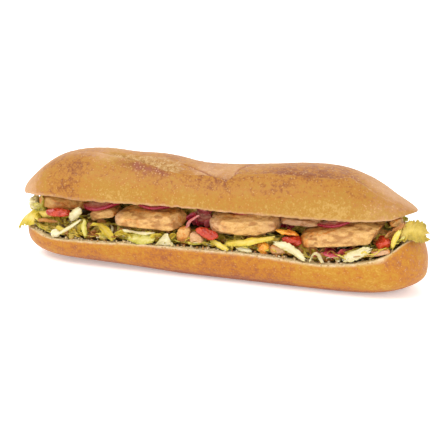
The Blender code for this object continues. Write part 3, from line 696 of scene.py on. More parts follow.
@dataclass
class BreadTop:
    """The top half of the loaf: a tilted dome with one long slash, torn open, and a hollowed crumb face."""

    left: float = TOP_LEFT
    right: float = TOP_RIGHT
    bluntness: Pair = (7.0, 5.0)
    dish: float = 1.8
    power: float = 0.8
    lip_height: float = 0.5
    lip_reach: float = 6.0
    wall_degrees: float = 5.5
    crease: Rows = ((-18.0, -16.0), (-9.0, -21.7), (-3.0, -26.5), (3.7, -36.0), (9.0, -39.0), (14.0, -44.0),
                    (17.3, -47.2), (19.3, -38.6), (20.3, -19.3), (23.7, -8.6), (27.1, 11.0))
    rings: int = 470
    front_steps: int = 54
    wall_steps: int = 14
    open_steps: int = 50
    back_steps: int = 50
    crumb_steps: int = 26

    def angles(self, x: Array) -> tuple[Array, Array, Array, Array]:
        """Angles from the crest for each section, with edges that follow the slash's ragged front lip.

        Args:
            x: Places along the loaf.

        Returns:
            The angles, one row per place, and the lip, far edge and depth at each place as columns.
        """
        lip, far, depth = (np.interp(x, SLASH[:, 0], SLASH[:, k]) for k in (1, 2, 3))
        line = together(x, 0.0, 0.0)
        ragged = fractal(line, 7.0, 4, 3) + fractal(line, 1.6, 2, 5) * 0.4
        lip = np.radians(lip + ragged * np.clip(depth, 0.3, 1.0))
        far = np.radians(far + 3.0 * fractal(line, 14.0, 3, 9))
        steps = (self.front_steps, self.wall_steps, self.open_steps, self.back_steps)
        lip, far = lip[:, None], far[:, None]
        quarter, wall = math.pi / 2.0, math.radians(self.wall_degrees)
        ends = (-quarter + 0.0 * lip, lip, lip + wall, far, quarter + 0.0 * lip)
        parts = [start + (end - start) * np.linspace(0.0, 1.0, count + 1)[1:]
                 for start, end, count in zip(ends, ends[1:], steps)]
        return np.concatenate((ends[0], *parts), axis=1), lip, far, depth[:, None]

    def crease_distance(self, x: Array, angles: Array) -> Array:
        """Distance in millimetres over the crust, unrolled flat, to the crease where the torn parts meet."""
        place = together(x, HALF_WIDTH * angles)
        knots = np.array(self.crease) * (1.0, math.radians(HALF_WIDTH))
        nearest = np.full(place.shape[:-1], 99.0)
        for start, end in zip(knots, knots[1:]):
            way = end - start
            share = np.clip(((place - start) @ way) / (way @ way), 0.0, 1.0)
            nearest = np.minimum(nearest, np.linalg.norm(place - start - share[..., None] * way, axis=-1))
        return nearest

    def build(self, finish: bpy.types.Material) -> bpy.types.Object:
        """Makes the half: over the crust from the front edge to the back, then forward under the crumb.

        Args:
            finish: The crust's material.

        Returns:
            The piece.
        """
        x = stations(self.left, self.right, self.rings)
        angles, lip, far, depth = self.angles(x)
        x = x[:, None]
        share = plan_share(x, self.left, self.right, self.bluntness)
        across, up = np.sin(angles), np.cos(angles)
        half, height = HALF_WIDTH * share, along(x, DOME) * share ** 0.9
        y, z = half * across, height * np.abs(up) ** self.power
        flat = together(x, y, z)

        # The slash: a rolled lip, a wall behind it, the opened dough and the crease where the torn parts meet
        behind, width = HALF_WIDTH * (angles - lip), HALF_WIDTH * (far - lip)
        opened = smooth_step(behind / 2.4) * (1.0 - smooth_step(behind / width))
        rolled = np.exp(-((behind / self.lip_reach) ** 2)) * (behind <= 0.01)
        relief = depth * (self.lip_height * rolled - opened) * share * np.maximum(up, 0.0) ** 0.5
        crease = self.crease_distance(x, angles)
        torn = opened * np.clip(depth, 0.0, 1.0)
        bloom = torn * (0.25 + 0.75 * smooth_step((-14.0 - x) / 10.0)) * smooth_step((crease - 1.0) / 2.5)
        relief = relief + self.crust_relief(flat, bloom, share, up) - 0.9 * hill(crease, 0.0, 0.9) * share

        # The lower edge, drawn in a little and ragged
        edge = np.clip(1.0 - (math.pi / 2.0 - np.abs(angles)) / 0.08, 0.0, 1.0)
        relief = relief - 0.4 * edge * share
        y, z = y + relief * across, z + relief * up
        z = z + 0.5 * edge * fractal(together(x, np.sign(y) * 9.0, 0.0), 3.5, 3, 31) * share

        # The crumb face, dished and full of pores
        crumb_share = np.linspace(1.0, -1.0, self.crumb_steps + 1)[1:-1][None, :]
        crumb_y = half * crumb_share
        crumb_z = np.minimum(self.dish * share * (1.0 - crumb_share ** 4), 0.6 * height)
        pore, _ = grains(together(x, crumb_y, 0.0), 4.0, 41)
        crumb_z = crumb_z + 0.9 * (1.0 - smooth_step(pore / 0.45)) * share ** 3 * (1.0 - crumb_share ** 8)

        y, z = np.concatenate((y, crumb_y), axis=1), np.concatenate((z, crumb_z), axis=1)
        tilted_y = y * math.cos(TOP_TILT) + z * math.sin(TOP_TILT)
        tilted_z = along(x, TOP_EDGE) - y * math.sin(TOP_TILT) + z * math.cos(TOP_TILT)
        traits = self.traits(flat, angles, behind, bloom, torn, crease, crumb_share.size)
        piece = make_loft("loaf_top_half", together(x, tilted_y, tilted_z), traits)
        return place_piece(piece, finish, Slot.CRUST, "bread_top")

    @staticmethod
    def crust_relief(place: Array, bloom: Array, share: Array, up: Array) -> Array:
        """Swellings and grit in millimetres: large soft waves, finer ones, and grains in the slash.

        Args:
            place: Points of the plain dome.
            bloom: How far each point lies in the grainy part of the slash, 0 to 1.
            share: The loaf's width at each section as a share.
            up: Cosine of the angle from the crest.

        Returns:
            Height to add at each point.
        """
        soft = 0.40 * fractal(place, (32.0, 16.0, 16.0), 3, 1)
        fine = 0.08 * fractal(place, 2.8, 3, 2)
        torn = 0.40 * fractal(place, (14.0, 3.2, 6.0), 3, 4) + 0.26 * fractal(place, 1.9, 2, 6)
        grain, _ = grains(place, 2.2, 8)
        crest = smooth_step((up - 0.60) / 0.4)
        grit = 0.16 * (0.45 - np.minimum(grain, 0.9)) * (0.15 + 0.85 * crest)
        return (soft + fine + grit + bloom * torn) * np.clip(share * 1.6 - 0.3, 0.0, 1.0)

    @staticmethod
    def traits(place: Array, angles: Array, behind: Array, bloom: Array, torn: Array, crease: Array,
               crumb_columns: int) -> Traits:
        """What the finish reads: browning, flour, torn bloom, char and painted shade in the slash, and crumb at
        each point.

        Args:
            place: Points of the plain dome.
            angles: Angle from the crest at each point.
            behind: Distance behind the slash's lip in millimetres.
            bloom: How far each point lies in the grainy part of the slash.
            torn: How far each point lies in the opened slash.
            crease: Distance from the crease.
            crumb_columns: Points of the crumb face, which follow the crust's in each section.

        Returns:
            The traits by name.
        """
        x = place[..., 0]
        degrees = np.degrees(angles)
        low = smooth_step((np.abs(degrees) - 56.0) / 28.0)
        patch = fractal(place, 26.0, 3, 19)
        left_end, right_end = smooth_step((-106.0 - x) / 26.0), smooth_step((x - 92.0) / 26.0)
        crest = smooth_step((np.cos(angles) - 0.72) / 0.24)
        pale_patch = hill(x, -72.0, 12.0) * hill(degrees, -34.0, 14.0)
        smooth_bloom = torn * smooth_step((x + 16.0) / 12.0) * (1.0 - smooth_step((x - 18.0) / 4.0))
        bake = 0.47 - 0.24 * low * smooth_step((x + 96.0) / 50.0) + 0.10 * patch - 0.20 * pale_patch
        bake = bake - 0.09 * smooth_step((x - 10.0) / 60.0) * (1.0 - crest) + 0.30 * torn * hill(x, 56.0, 30.0)
        rim = hill(degrees, -89.8, 1.3)
        flour = 0.06 + 0.36 * crest * (1.0 - 0.5 * torn) + 0.80 * left_end + 0.34 * right_end + 0.60 * rim
        flour = flour + 0.50 * smooth_bloom + 0.30 * pale_patch
        flour = flour + 0.45 * hill(behind, 0.4, 0.8) * np.clip(torn + 0.4, 0, 1)
        band = hill(x, -45.0, 15.0) * hill(behind, -4.6, 4.6)
        band = band + 0.8 * hill(x, -29.0, 7.0) * hill(behind, -2.4, 1.8)
        # Painted shade: burnt browns on the slash's wall under the rolled lip, where it overhangs.
        shade_under_lip = 0.55 * hill(x, 94.0, 9.0) * hill(behind, 3.0, 2.6)
        shade_under_lip = shade_under_lip + 0.30 * hill(x, 52.0, 24.0) * hill(behind, 3.0, 3.0)
        dashes = smooth_step(fractal(place, (3.0, 1.4, 1.4), 2, 23) * 3.0 - 1.5) * hill(x, -104.0, 14.0) * crest
        # The crease gets a painted dark line as well, for the shade where the torn parts meet.
        char = band + shade_under_lip + 0.8 * dashes + 0.75 * hill(crease, 0.0, 0.8)
        return {"bake": crust_and_crumb(bake, 0.3, crumb_columns),
                "flour": crust_and_crumb(flour, 0.2, crumb_columns),
                "bloom": crust_and_crumb(bloom, 0.0, crumb_columns),
                "char": crust_and_crumb(char, 0.0, crumb_columns),
                "crumb": crust_and_crumb(0.0 * x, 1.0, crumb_columns)}


@dataclass
class BreadBottom:
    """The bottom half of the loaf: a rounded trough with a flat underside and a pressed crumb face."""

    left: float = -140.5
    right: float = 141.5
    bluntness: Pair = (7.0, 7.6)
    power: float = 0.7
    shoulder: float = 22.0
    trim: float = 1.9
    end_lift: float = 0.55
    curl: float = 5.0
    curl_height: float = 18.0
    curl_start: float = 108.0
    curl_length: float = 32.0
    dish: float = 2.6
    rings: int = 430
    crust_steps: int = 120
    crumb_steps: int = 64

    def end_curl(self, x: Array, z: Array) -> Array:
        """How far a point at height z moves along X, curl * ((z - h) / h)^2, so that the ends are round."""
        share = smooth_step((np.abs(x) - self.curl_start) / self.curl_length)
        return -np.sign(x) * self.curl * share * ((z - self.curl_height) / self.curl_height) ** 2

    def crumb_of_section(self, x: Array, y: Array) -> Array:
        """Height of the cut face in the section at x, pressed down by the dish's depth under the filling."""
        share = plan_share(x, self.left, self.right, self.bluntness)
        across = np.abs(y) / np.maximum(HALF_WIDTH * share, 0.1)
        return along(x, CUT) - self.dish * share * (1.0 - smooth_step((across - 0.5) / 0.38))

    def crumb_height(self, x: Array, y: Array) -> Array:
        """Height of the cut face over a place, with the curled ends undone first."""
        sections = np.linspace(self.left, self.right, 400)
        curled = sections + self.end_curl(sections, along(sections, CUT))
        return self.crumb_of_section(np.interp(x, curled, sections), y)

    def build(self, finish: bpy.types.Material) -> bpy.types.Object:
        """Makes the half: under the crust from the front rim to the back, then forward over the crumb.

        Args:
            finish: The crust's material.

        Returns:
            The piece.
        """
        x = stations(self.left, self.right, self.rings)[:, None]
        share = plan_share(x, self.left, self.right, self.bluntness)
        half = HALF_WIDTH * share
        belly, cut, lift = along(x, BELLY), along(x, CUT), np.maximum(along(x, UNDERSIDE), 0.0)
        below = belly * (1.0 - self.end_lift * (1.0 - share))
        to_rim = belly - self.trim - cut
        rim = to_rim / np.where(to_rim > 0, below, self.shoulder)
        limit = np.arccos(signed_power(rim, 1.0 / self.power))
        angles = limit * np.linspace(-1.0, 1.0, self.crust_steps + 1)[None, :]
        across, up = np.sin(angles), np.cos(angles)
        y = half * signed_power(across, self.power)
        raised = signed_power(up, self.power)
        z = belly - np.where(raised > 0, below, self.shoulder) * raised
        place = together(x, y, z)
        soft = 0.35 * fractal(place, (34.0, 14.0, 14.0), 3, 61) + 0.06 * fractal(place, 2.6, 2, 62)
        wrinkle = -0.22 * smooth_step(fractal(place, (26.0, 9.0, 3.0), 2, 63) * 2.5 - 0.9)
        relief = (soft + wrinkle) * np.clip(share * 1.6 - 0.3, 0.0, 1.0) * smooth_step((z - self.trim) / 4.0)
        y = y + relief * across
        z = np.maximum(z - relief * up * 0.6, self.trim) - self.trim
        z = lift + z * (1.0 - lift / cut)
        edge = np.clip(1.0 - (limit - np.abs(angles)) / 0.06, 0.0, 1.0)
        z = z + 0.35 * edge * fractal(together(x, np.sign(y) * 9.0, 0.0), 3.0, 3, 64) * share

        # The crumb face, pressed down by the filling and full of pits of two sizes
        across_crumb = np.linspace(1.0, -1.0, self.crumb_steps + 1)[1:-1][None, :]
        crumb_y = (y[:, -1:] - y[:, :1]) / 2.0 * across_crumb + (y[:, -1:] + y[:, :1]) / 2.0
        crumb_z = np.minimum(self.crumb_of_section(x, crumb_y), cut)
        flat = together(x, crumb_y, 0.0)
        big, _ = grains(flat, 4.6, 65)
        small, _ = grains(flat, 1.9, 66)
        pits = 0.8 * (1.0 - smooth_step(big / 0.42)) + 0.30 * (1.0 - smooth_step(small / 0.5))
        inner = 1.0 - across_crumb ** 12
        crumb_z = crumb_z + (0.25 * fractal(flat, 3.0, 3, 67) - pits) * inner * share

        curled = (self.end_curl(x, z), np.broadcast_to(self.end_curl(x, cut), crumb_y.shape))
        traits = self.traits(place, z, edge, across_crumb.size)
        y, z = np.concatenate((y, crumb_y), axis=1), np.concatenate((z, crumb_z), axis=1)
        piece = make_loft("loaf_bottom_half", together(x + np.concatenate(curled, axis=1), y, z), traits)
        return place_piece(piece, finish, Slot.CRUST, "bread_bottom")

    @staticmethod
    def traits(place: Array, height: Array, edge: Array, crumb_columns: int) -> Traits:
        """What the finish reads: browning, flour and crumb at each point.

        Args:
            place: Points of the plain trough.
            height: Height of each point of the crust over the table.
            edge: How near each point is to the rim, 0 to 1.
            crumb_columns: Points of the crumb face, which follow the crust's in each section.

        Returns:
            The traits by name.
        """
        x = place[..., 0]
        # The crust turns darker and redder towards the underside.
        low = smooth_step((8.0 - height) / 7.0)
        patch = fractal(place, (40.0, 20.0, 12.0), 3, 68)
        right = smooth_step((x - 20.0) / 70.0)
        far_end = smooth_step((x - 112.0) / 22.0)
        bake = 0.48 + 0.42 * low + 0.12 * patch - 0.24 * right * (1.0 - low) + 0.24 * far_end
        flour = 0.02 + 0.06 * patch + 0.50 * edge + 0.20 * far_end + 0.16 * smooth_step((-118.0 - x) / 20.0)
        char = 0.25 * low * smooth_step(patch * 2.0)
        return {"bake": crust_and_crumb(bake, 0.3, crumb_columns),
                "flour": crust_and_crumb(flour, 0.2, crumb_columns),
                "bloom": crust_and_crumb(0.0 * x, 0.0, crumb_columns),
                "char": crust_and_crumb(char, 0.0, crumb_columns),
                "crumb": crust_and_crumb(0.85 * edge ** 2, 1.0, crumb_columns)}


# The filling


@dataclass(frozen=True)
class Lump:
    """Where one rounded piece lies: its centre, half sizes and turn in degrees, with a seed of its own."""

    centre: Point
    half: Point
    turn: Point
    seed: int

    @property
    def front(self) -> float:
        """1 for a piece on the front half of the loaf, -1 for one at the back."""
        return 1.0 if self.centre[1] < 0.0 else -1.0


# How steeply a piece's first three cuts look up, all towards the side of the loaf that it shows at
FRONT_CUT_RISES = (0.75, -0.7, 0.05)


@dataclass
class Lumps:
    """Pieces of one kind, each a softened block: a unit ball, its coordinates raised to a power, and waves."""

    squareness: float
    unevenness: float
    cuts: int
    turns: int
    rises: int
    small_half: float = 6.0
    small_unevenness: float = 2.2
    softness: float = 0.0004

    def facets(self, ball: Array, lump: Lump) -> Array:
        """How far each point of the unit block is drawn in by flat cuts, sum of soft max(0, n.p - h) * n.

        Args:
            ball: The block's points at unit size.
            lump: The piece, whose seed picks the cuts.

        Returns:
            The step to take off at each point.
        """
        draw = np.random.default_rng(400 + lump.seed)
        drawn = np.zeros(ball.shape)
        for number in range(self.cuts):
            normal = draw.normal(0.0, 1.0, 3) * (1.0, 0.8, 0.75)
            if number < len(FRONT_CUT_RISES):
                normal = np.array((draw.uniform(-0.35, 0.35), -0.8 * lump.front, FRONT_CUT_RISES[number]))
            normal = normal / np.linalg.norm(normal)
            reach = np.abs(normal).sum() ** 0.5 * draw.uniform(0.72, 0.82)
            over = (ball - drawn) @ normal - reach
            drawn += (0.5 * (over + np.sqrt(over ** 2 + self.softness)))[..., None] * normal
        return drawn

    def surface(self, lump: Lump, relief: float, grain_size: Union[float, Point]) -> tuple[Array, ...]:
        """The piece's points.

        Args:
            lump: Where it lies.
            relief: Height of its own fine relief in millimetres.
            grain_size: Size of that relief's bumps.

        Returns:
            Points as a grid, the ball's points they come from, how far each was cut, how deep in a hollow for
            painted shade.
        """
        a = np.linspace(0.0, 2.0 * math.pi, self.turns, endpoint=False)[None, :]
        b = np.linspace(0.0, math.pi, self.rises)[:, None]
        ball = together(np.sin(b) * np.cos(a), np.sin(b) * np.sin(a), np.cos(b))
        uneven = self.unevenness * (self.small_unevenness if max(lump.half) < self.small_half else 1.0)
        swell = 1.0 + uneven * waves(ball[..., 0], ball[..., 1], ball[..., 2], lump.seed)
        block = signed_power(ball, self.squareness) * swell[..., None]
        drawn = self.facets(block, lump)
        turned = turn_matrix(lump.turn)
        places = ((block - drawn) * np.array(lump.half)) @ turned.T + np.array(lump.centre)
        outward = unit(ball / np.array(lump.half)) @ turned.T
        rough = fractal(places, grain_size, 4, lump.seed + 70) + 0.25 * fractal(places, 1.8, 2, lump.seed + 7)
        rough = relief * rough
        rough[0], rough[-1] = rough[0].mean(), rough[-1].mean()
        places = places + outward * rough[..., None]
        cut_share = np.clip(np.linalg.norm(drawn, axis=-1) / 0.16, 0.0, 1.0)
        return places, ball, cut_share, np.clip(0.5 - 0.9 * rough / relief, 0.0, 1.0)


# name: (centre, half sizes, turn in degrees about X, Y and Z)
FILLETS: dict[str, tuple[Point, Point, Point]] = {
    "fillet_front_1": ((-109.2, -6.4, 41.0), (18, 14.8, 5.8), (0, 2, 0)),
    "fillet_front_2": ((-74.6, -14.6, 37.0), (10.6, 9.6, 3.8), (8, -12, 0)),
    "fillet_front_3": ((-38.5, -16.5, 37.0), (25.0, 13.5, 6.7), (8, -2, -2)),
    "fillet_front_4": ((27.0, -16.5, 39.9), (23.4, 13.5, 7.4), (10, -5, 3)),
    "fillet_front_5": ((62.8, -11.0, 43.6), (13.2, 10.5, 3.0), (6, -3, 0)),
    "fillet_front_6": ((90.4, -16.5, 38.0), (26.8, 13.5, 6.4), (10, -13, 2)),
    "fillet_back_1": ((-66.0, 14.5, 37.4), (22.5, 12.5, 6.6), (-8, 2, 3)),
    "fillet_back_2": ((-17.5, 15.5, 37.4), (22.5, 12.5, 6.6), (-6, -2, -4)),
    "fillet_back_3": ((33.0, 15.5, 39.4), (22.6, 12.5, 6.4), (-9, 2, 2)),
    "fillet_back_4": ((81.5, 15.0, 38.4), (23.6, 12.5, 6.4), (-6, -6, -3)),
    "fillet_end_bit": ((-12.0, -24.6, 29.6), (4.8, 4.4, 5.6), (0, 6, 0)),
    "fillet_pale_bit": ((-2.8, -26.8, 28.8), (4.5, 3.4, 3.3), (0, 8, 0)),
    "fillet_mottled_bit": ((51.0, -25.6, 26.6), (4.4, 3.6, 3.6), (0, -8, 0)),
    "fillet_tip": ((121.6, -10.6, 46.4), (3.8, 7.0, 3.3), (4, -6, 0)),
    "fillet_strip": ((115.0, -25.6, 30.6), (5.0, 1.6, 1.4), (0, -14, 10)),
}


# How each slice that shows is browned and pinkish along its length: rows of (place from -1 to 1, sear, pink)
SLICE_LOOKS: dict[str, Sequence[Point]] = {
    "fillet_front_1": ((-1.0, 0.56, 0.0), (0.0, 0.56, 0.0), (1.0, 0.50, 0.0)),
    "fillet_front_2": ((-1.0, 0.34, 0.0), (0.2, 0.22, 0.0), (1.0, 0.50, 0.1)),
    "fillet_front_3": ((-1.0, 0.04, 0.9), (-0.72, 0.12, 0.5), (-0.5, 0.28, 0.0), (0.4, 0.30, 0.0),
                       (1.0, 0.55, 0.2)),
    "fillet_front_4": ((-1.0, 0.02, 0.7), (-0.6, 0.14, 0.4), (-0.2, 0.30, 0.0), (0.3, 0.08, 0.0),
                       (1.0, 0.26, 0.5)),
    "fillet_front_5": ((-1.0, 0.30, 0.7), (0.0, 0.20, 0.7), (1.0, 0.32, 0.5)),
    "fillet_front_6": ((-1.0, 0.56, 0.1), (-0.5, 0.44, 0.1), (0.0, 0.16, 0.0), (0.7, 0.10, 0.0),
                       (1.0, 0.62, 0.1)),
    "fillet_end_bit": ((-1.0, 0.60, 0.0), (1.0, 0.46, 0.0)),
    "fillet_pale_bit": ((-1.0, 0.08, 0.6), (1.0, 0.12, 0.5)),
    "fillet_mottled_bit": ((-1.0, 0.50, 0.4), (1.0, 0.40, 0.6)),
    "fillet_tip": ((-1.0, 0.50, 0.0), (1.0, 0.42, 0.0)),
    "fillet_strip": ((-1.0, 0.30, 0.9), (1.0, 0.34, 0.7)),
}

# The same for the slices at the back
PLAIN_LOOK: Sequence[Point] = ((-1.0, 0.46, 0.0), (0.0, 0.24, 0.1), (1.0, 0.44, 0.0))


@dataclass
class Fillets:
    """The browned slices of pale fillet and their loose bits."""

    shape: Lumps = field(default_factory=lambda: Lumps(0.66, 0.07, 8, 150, 84))

    def build(self, finish: bpy.types.Material) -> list[bpy.types.Object]:
        """Makes each slice, paler on its cuts and browned on its top, edges and underside.

        Args:
            finish: The fillet's material.

        Returns:
            The pieces.
        """
        made = []
        for seed, (node, (centre, half, turn)) in enumerate(FILLETS.items()):
            lump = Lump(centre, half, turn, seed)
            places, ball, cut_share, hollow = self.shape.surface(lump, 0.62, (6.0, 3.0, 3.0))
            place, sear, pink = np.array(SLICE_LOOKS.get(node, PLAIN_LOOK)).T
            along_slice = ball[..., 0] + 0.12 * fractal(places, 6.0, 2, 44)
            top = smooth_step((ball[..., 2] - 0.62) / 0.3)
            under = smooth_step((-ball[..., 2] - 0.55) / 0.3)
            browned = (np.interp(along_slice, place, sear) + 0.16 * top + 0.26 * under
                       - 0.16 * cut_share + 0.14 * hill(cut_share, 0.12, 0.10))
            traits = {"sear": np.clip(browned, 0, 1), "pink": np.interp(along_slice, place, pink),
                      "hollow": hollow}
            piece = make_loft(f"slice_{node}", places, traits)
            made.append(place_piece(piece, finish, Slot.FILLET, node))
        return made


# name: (centre, half sizes, turn in degrees about X, Y and Z)
CHUNKS: dict[str, tuple[Point, Point, Point]] = {
    "tomato_1": ((-103.8, -25.2, 37.0), (8.2, 4.0, 3.0), (0, -4, 4)),
    "tomato_2": ((5.0, -27.9, 33.0), (8.6, 3.0, 2.7), (0, 20, 0)),
    "tomato_3": ((59.2, -24.8, 32.6), (5.8, 3.6, 3.1), (0, -6, 0)),
    "tomato_4": ((115.8, -20.0, 36.0), (4.6, 4.6, 3.5), (8, -38, 0)),
    "tomato_5": ((121.0, -11.8, 38.0), (3.0, 4.8, 3.8), (0, 8, 10)),
    "tomato_back_1": ((-101.0, 22.0, 35.0), (8.0, 5.0, 4.6), (0, 6, -8)),
    "tomato_back_2": ((8.5, 26.2, 28.8), (6.0, 4.0, 4.4), (0, 0, 0)),
    "tomato_back_3": ((112.0, 13.6, 38.4), (5.0, 6.4, 4.6), (0, -10, 0)),
    "onion_bit": ((86.6, -28.0, 27.0), (5.0, 2.3, 1.4), (0, 6, 0)),
    "pepper_piece": ((42.2, -27.0, 27.4), (3.8, 3.1, 3.6), (0, 20, 10)),
    "pepper_strip": ((56.4, -24.4, 37.8), (7.2, 2.6, 1.3), (0, 6, 0)),
    "cabbage_left": ((-131.0, -11.6, 39.0), (3.2, 4.4, 4.4), (0, 8, 0)),
    "cabbage_knob": ((-105.4, -28.4, 22.8), (2.6, 1.7, 2.2), (0, 0, 0)),
}


@dataclass
class Chunks:
    """The wet pieces of tomato, the pieces of pepper, the chopped onion and the knob of cabbage."""

    shape: Lumps = field(default_factory=lambda: Lumps(0.75, 0.14, 7, 96, 56))

    def build(self, finishes: Mapping[Slot, bpy.types.Material]) -> list[bpy.types.Object]:
        """Makes each piece, with soft folds in its flesh.

        Args:
            finishes: The material of each kind.

        Returns:
            The pieces.
        """
        made = []
        for number, (node, (centre, half, turn)) in enumerate(CHUNKS.items()):
            slot = Slot(node.split("_")[0])
            lump = Lump(centre, half, turn, number + 20)
            places, ball, cut_share, hollow = self.shape.surface(lump, 1.1, 4.2)
            # tone holds the hollows here, so the cabbage pieces' finish paints shade in them.
            traits = {"layer": 0.55 + 0.4 * ball[..., 2], "side": cut_share, "tone": hollow}
            piece = make_loft(f"chunk_{node}", places, traits)
            made.append(place_piece(piece, finishes[slot], slot, node))
        return made


# name: (centre, inner and outer radius, start and end angle, thickness, turn in degrees about X, Y and Z)
ONIONS: dict[str, tuple[Point, Pair, Pair, float, Point]] = {
    "onion_1": ((-75.5, -8.8, 45.0), (5.0, 16.5), (205, 335), 2.4, (12, -10, 0)),
    "onion_2": ((-35.5, -10.0, 46.6), (5.0, 15.0), (215, 325), 1.9, (3, 0, 0)),
    "onion_3": ((27.0, -10.8, 48.9), (5.0, 15.5), (222, 322), 1.7, (3, -2, 0)),
    "onion_4": ((86.2, -9.4, 46.8), (5.0, 15.5), (215, 318), 1.7, (8, -14, 0)),
    "onion_5": ((-4.6, -2.0, 43.9), (7.0, 16.0), (235, 305), 2.4, (30, 6, 0)),
}


@dataclass
class Onions:
    """Slices of red onion: parts of a ring, with a groove between each two of its layers."""

    layers: int = 3
    around: int = 90
    outward: int = 30
    groove: float = 0.16

    def build(self, finish: bpy.types.Material) -> list[bpy.types.Object]:
        """Makes each slice as a closed band: the top face outward, then the bottom face back.

        Args:
            finish: The onion's material.

        Returns:
            The pieces.
        """
        made = []
        for node, (centre, radii, span, thickness, turn) in ONIONS.items():
            u = np.linspace(0.0, 1.0, self.around)[:, None]
            v = np.linspace(0.0, 1.0, self.outward)[None, :]
            angle = np.radians(span[0] + (span[1] - span[0]) * u)
            radius = radii[0] + (radii[1] - radii[0]) * v
            wave = 0.25 * np.sin(5.0 * angle) * v
            valley = 1.0 - np.abs(np.sin(math.pi * self.layers * v)) ** 0.5
            valley[:, [0, -1]] = 0.6
            half = thickness / 2.0 - self.groove * valley
            place = [radius * np.cos(angle), radius * np.sin(angle)]
            top, low = together(*place, wave + half), together(*place, wave - half)
            band = np.concatenate((top, low[:, ::-1]), axis=1)
            band = band @ turn_matrix(turn).T + np.array(centre)
            layer = np.abs(np.cos(math.pi * self.layers * v)) ** 12 * 0.22 + 0.80 * v ** 5 + 0.0 * angle
            skin = np.concatenate((layer, layer[:, ::-1]), axis=1)
            piece = make_piece(f"slice_{node}", *closed_band(band), {"layer": skin})
            made.append(place_piece(piece, finish, Slot.ONION, node))
        return made


def closed_band(band: Array) -> tuple[Array, Array]:
    """A tube of points whose rings run over the top and back under, closed at both ends with quads.

    Args:
        band: Points as (places along, points round, 3), the second half of each ring under the first half.

    Returns:
        The points as rows, and the faces, pointing out.
    """
    rows, around = band.shape[:2]
    faces = grid_faces(rows, around)
    first = np.arange(around // 2 - 1)
    last = around - 1 - first
    start = np.stack((first, last, last - 1, first + 1), axis=-1)
    end = (rows - 1) * around + start[:, ::-1]
    places = band.reshape(-1, 3)
    return places, facing_out(places, np.concatenate((faces, start, end)))


def ribbon_bands(middles: Array, across: Array, widths: Array, thickness: float,
                 lift: Array) -> tuple[Array, Array]:
    """Thin ribbons along many paths at once, each a closed band.

    Args:
        middles: Points along each path, as (ribbons, places along, 3).
        across: Direction of each ribbon's width at each place, of length one.
        widths: Half width at each place, as (ribbons, along, sides), or with one side for all.
        thickness: The leaf's thickness in millimetres.
        lift: Height of the ruffle at each place and side, as (ribbons, along, sides).

    Returns:
        Bands as (ribbons, along, round, 3), and how far each point lies from the rib, 0 to 1.
    """
    sides = np.linspace(-1.0, 1.0, lift.shape[2])
    along = np.gradient(middles, axis=1)
    normals = unit(np.cross(along, across))[:, :, None, :]
    centre = (middles[:, :, None, :] + across[:, :, None, :] * (widths * sides)[..., None]
              + normals * lift[..., None])
    thick = 0.5 * thickness * (1.0 - 0.75 * np.abs(sides) ** 6)[:, None]
    top, low = centre + normals * thick, centre - normals * thick
    bands = np.concatenate((top, low[:, :, ::-1]), axis=2)
    away = np.broadcast_to(np.abs(sides), lift.shape)
    return bands, np.concatenate((away, away[:, :, ::-1]), axis=2)


def join_bands(bands: Array) -> tuple[Array, Array]:
    """All bands' points as rows and their faces as one list."""
    places, faces = [], []
    for number, band in enumerate(bands):
        points, corners = closed_band(band)
        places.append(points)
        faces.append(corners + number * len(points))
    return np.concatenate(places), np.concatenate(faces)


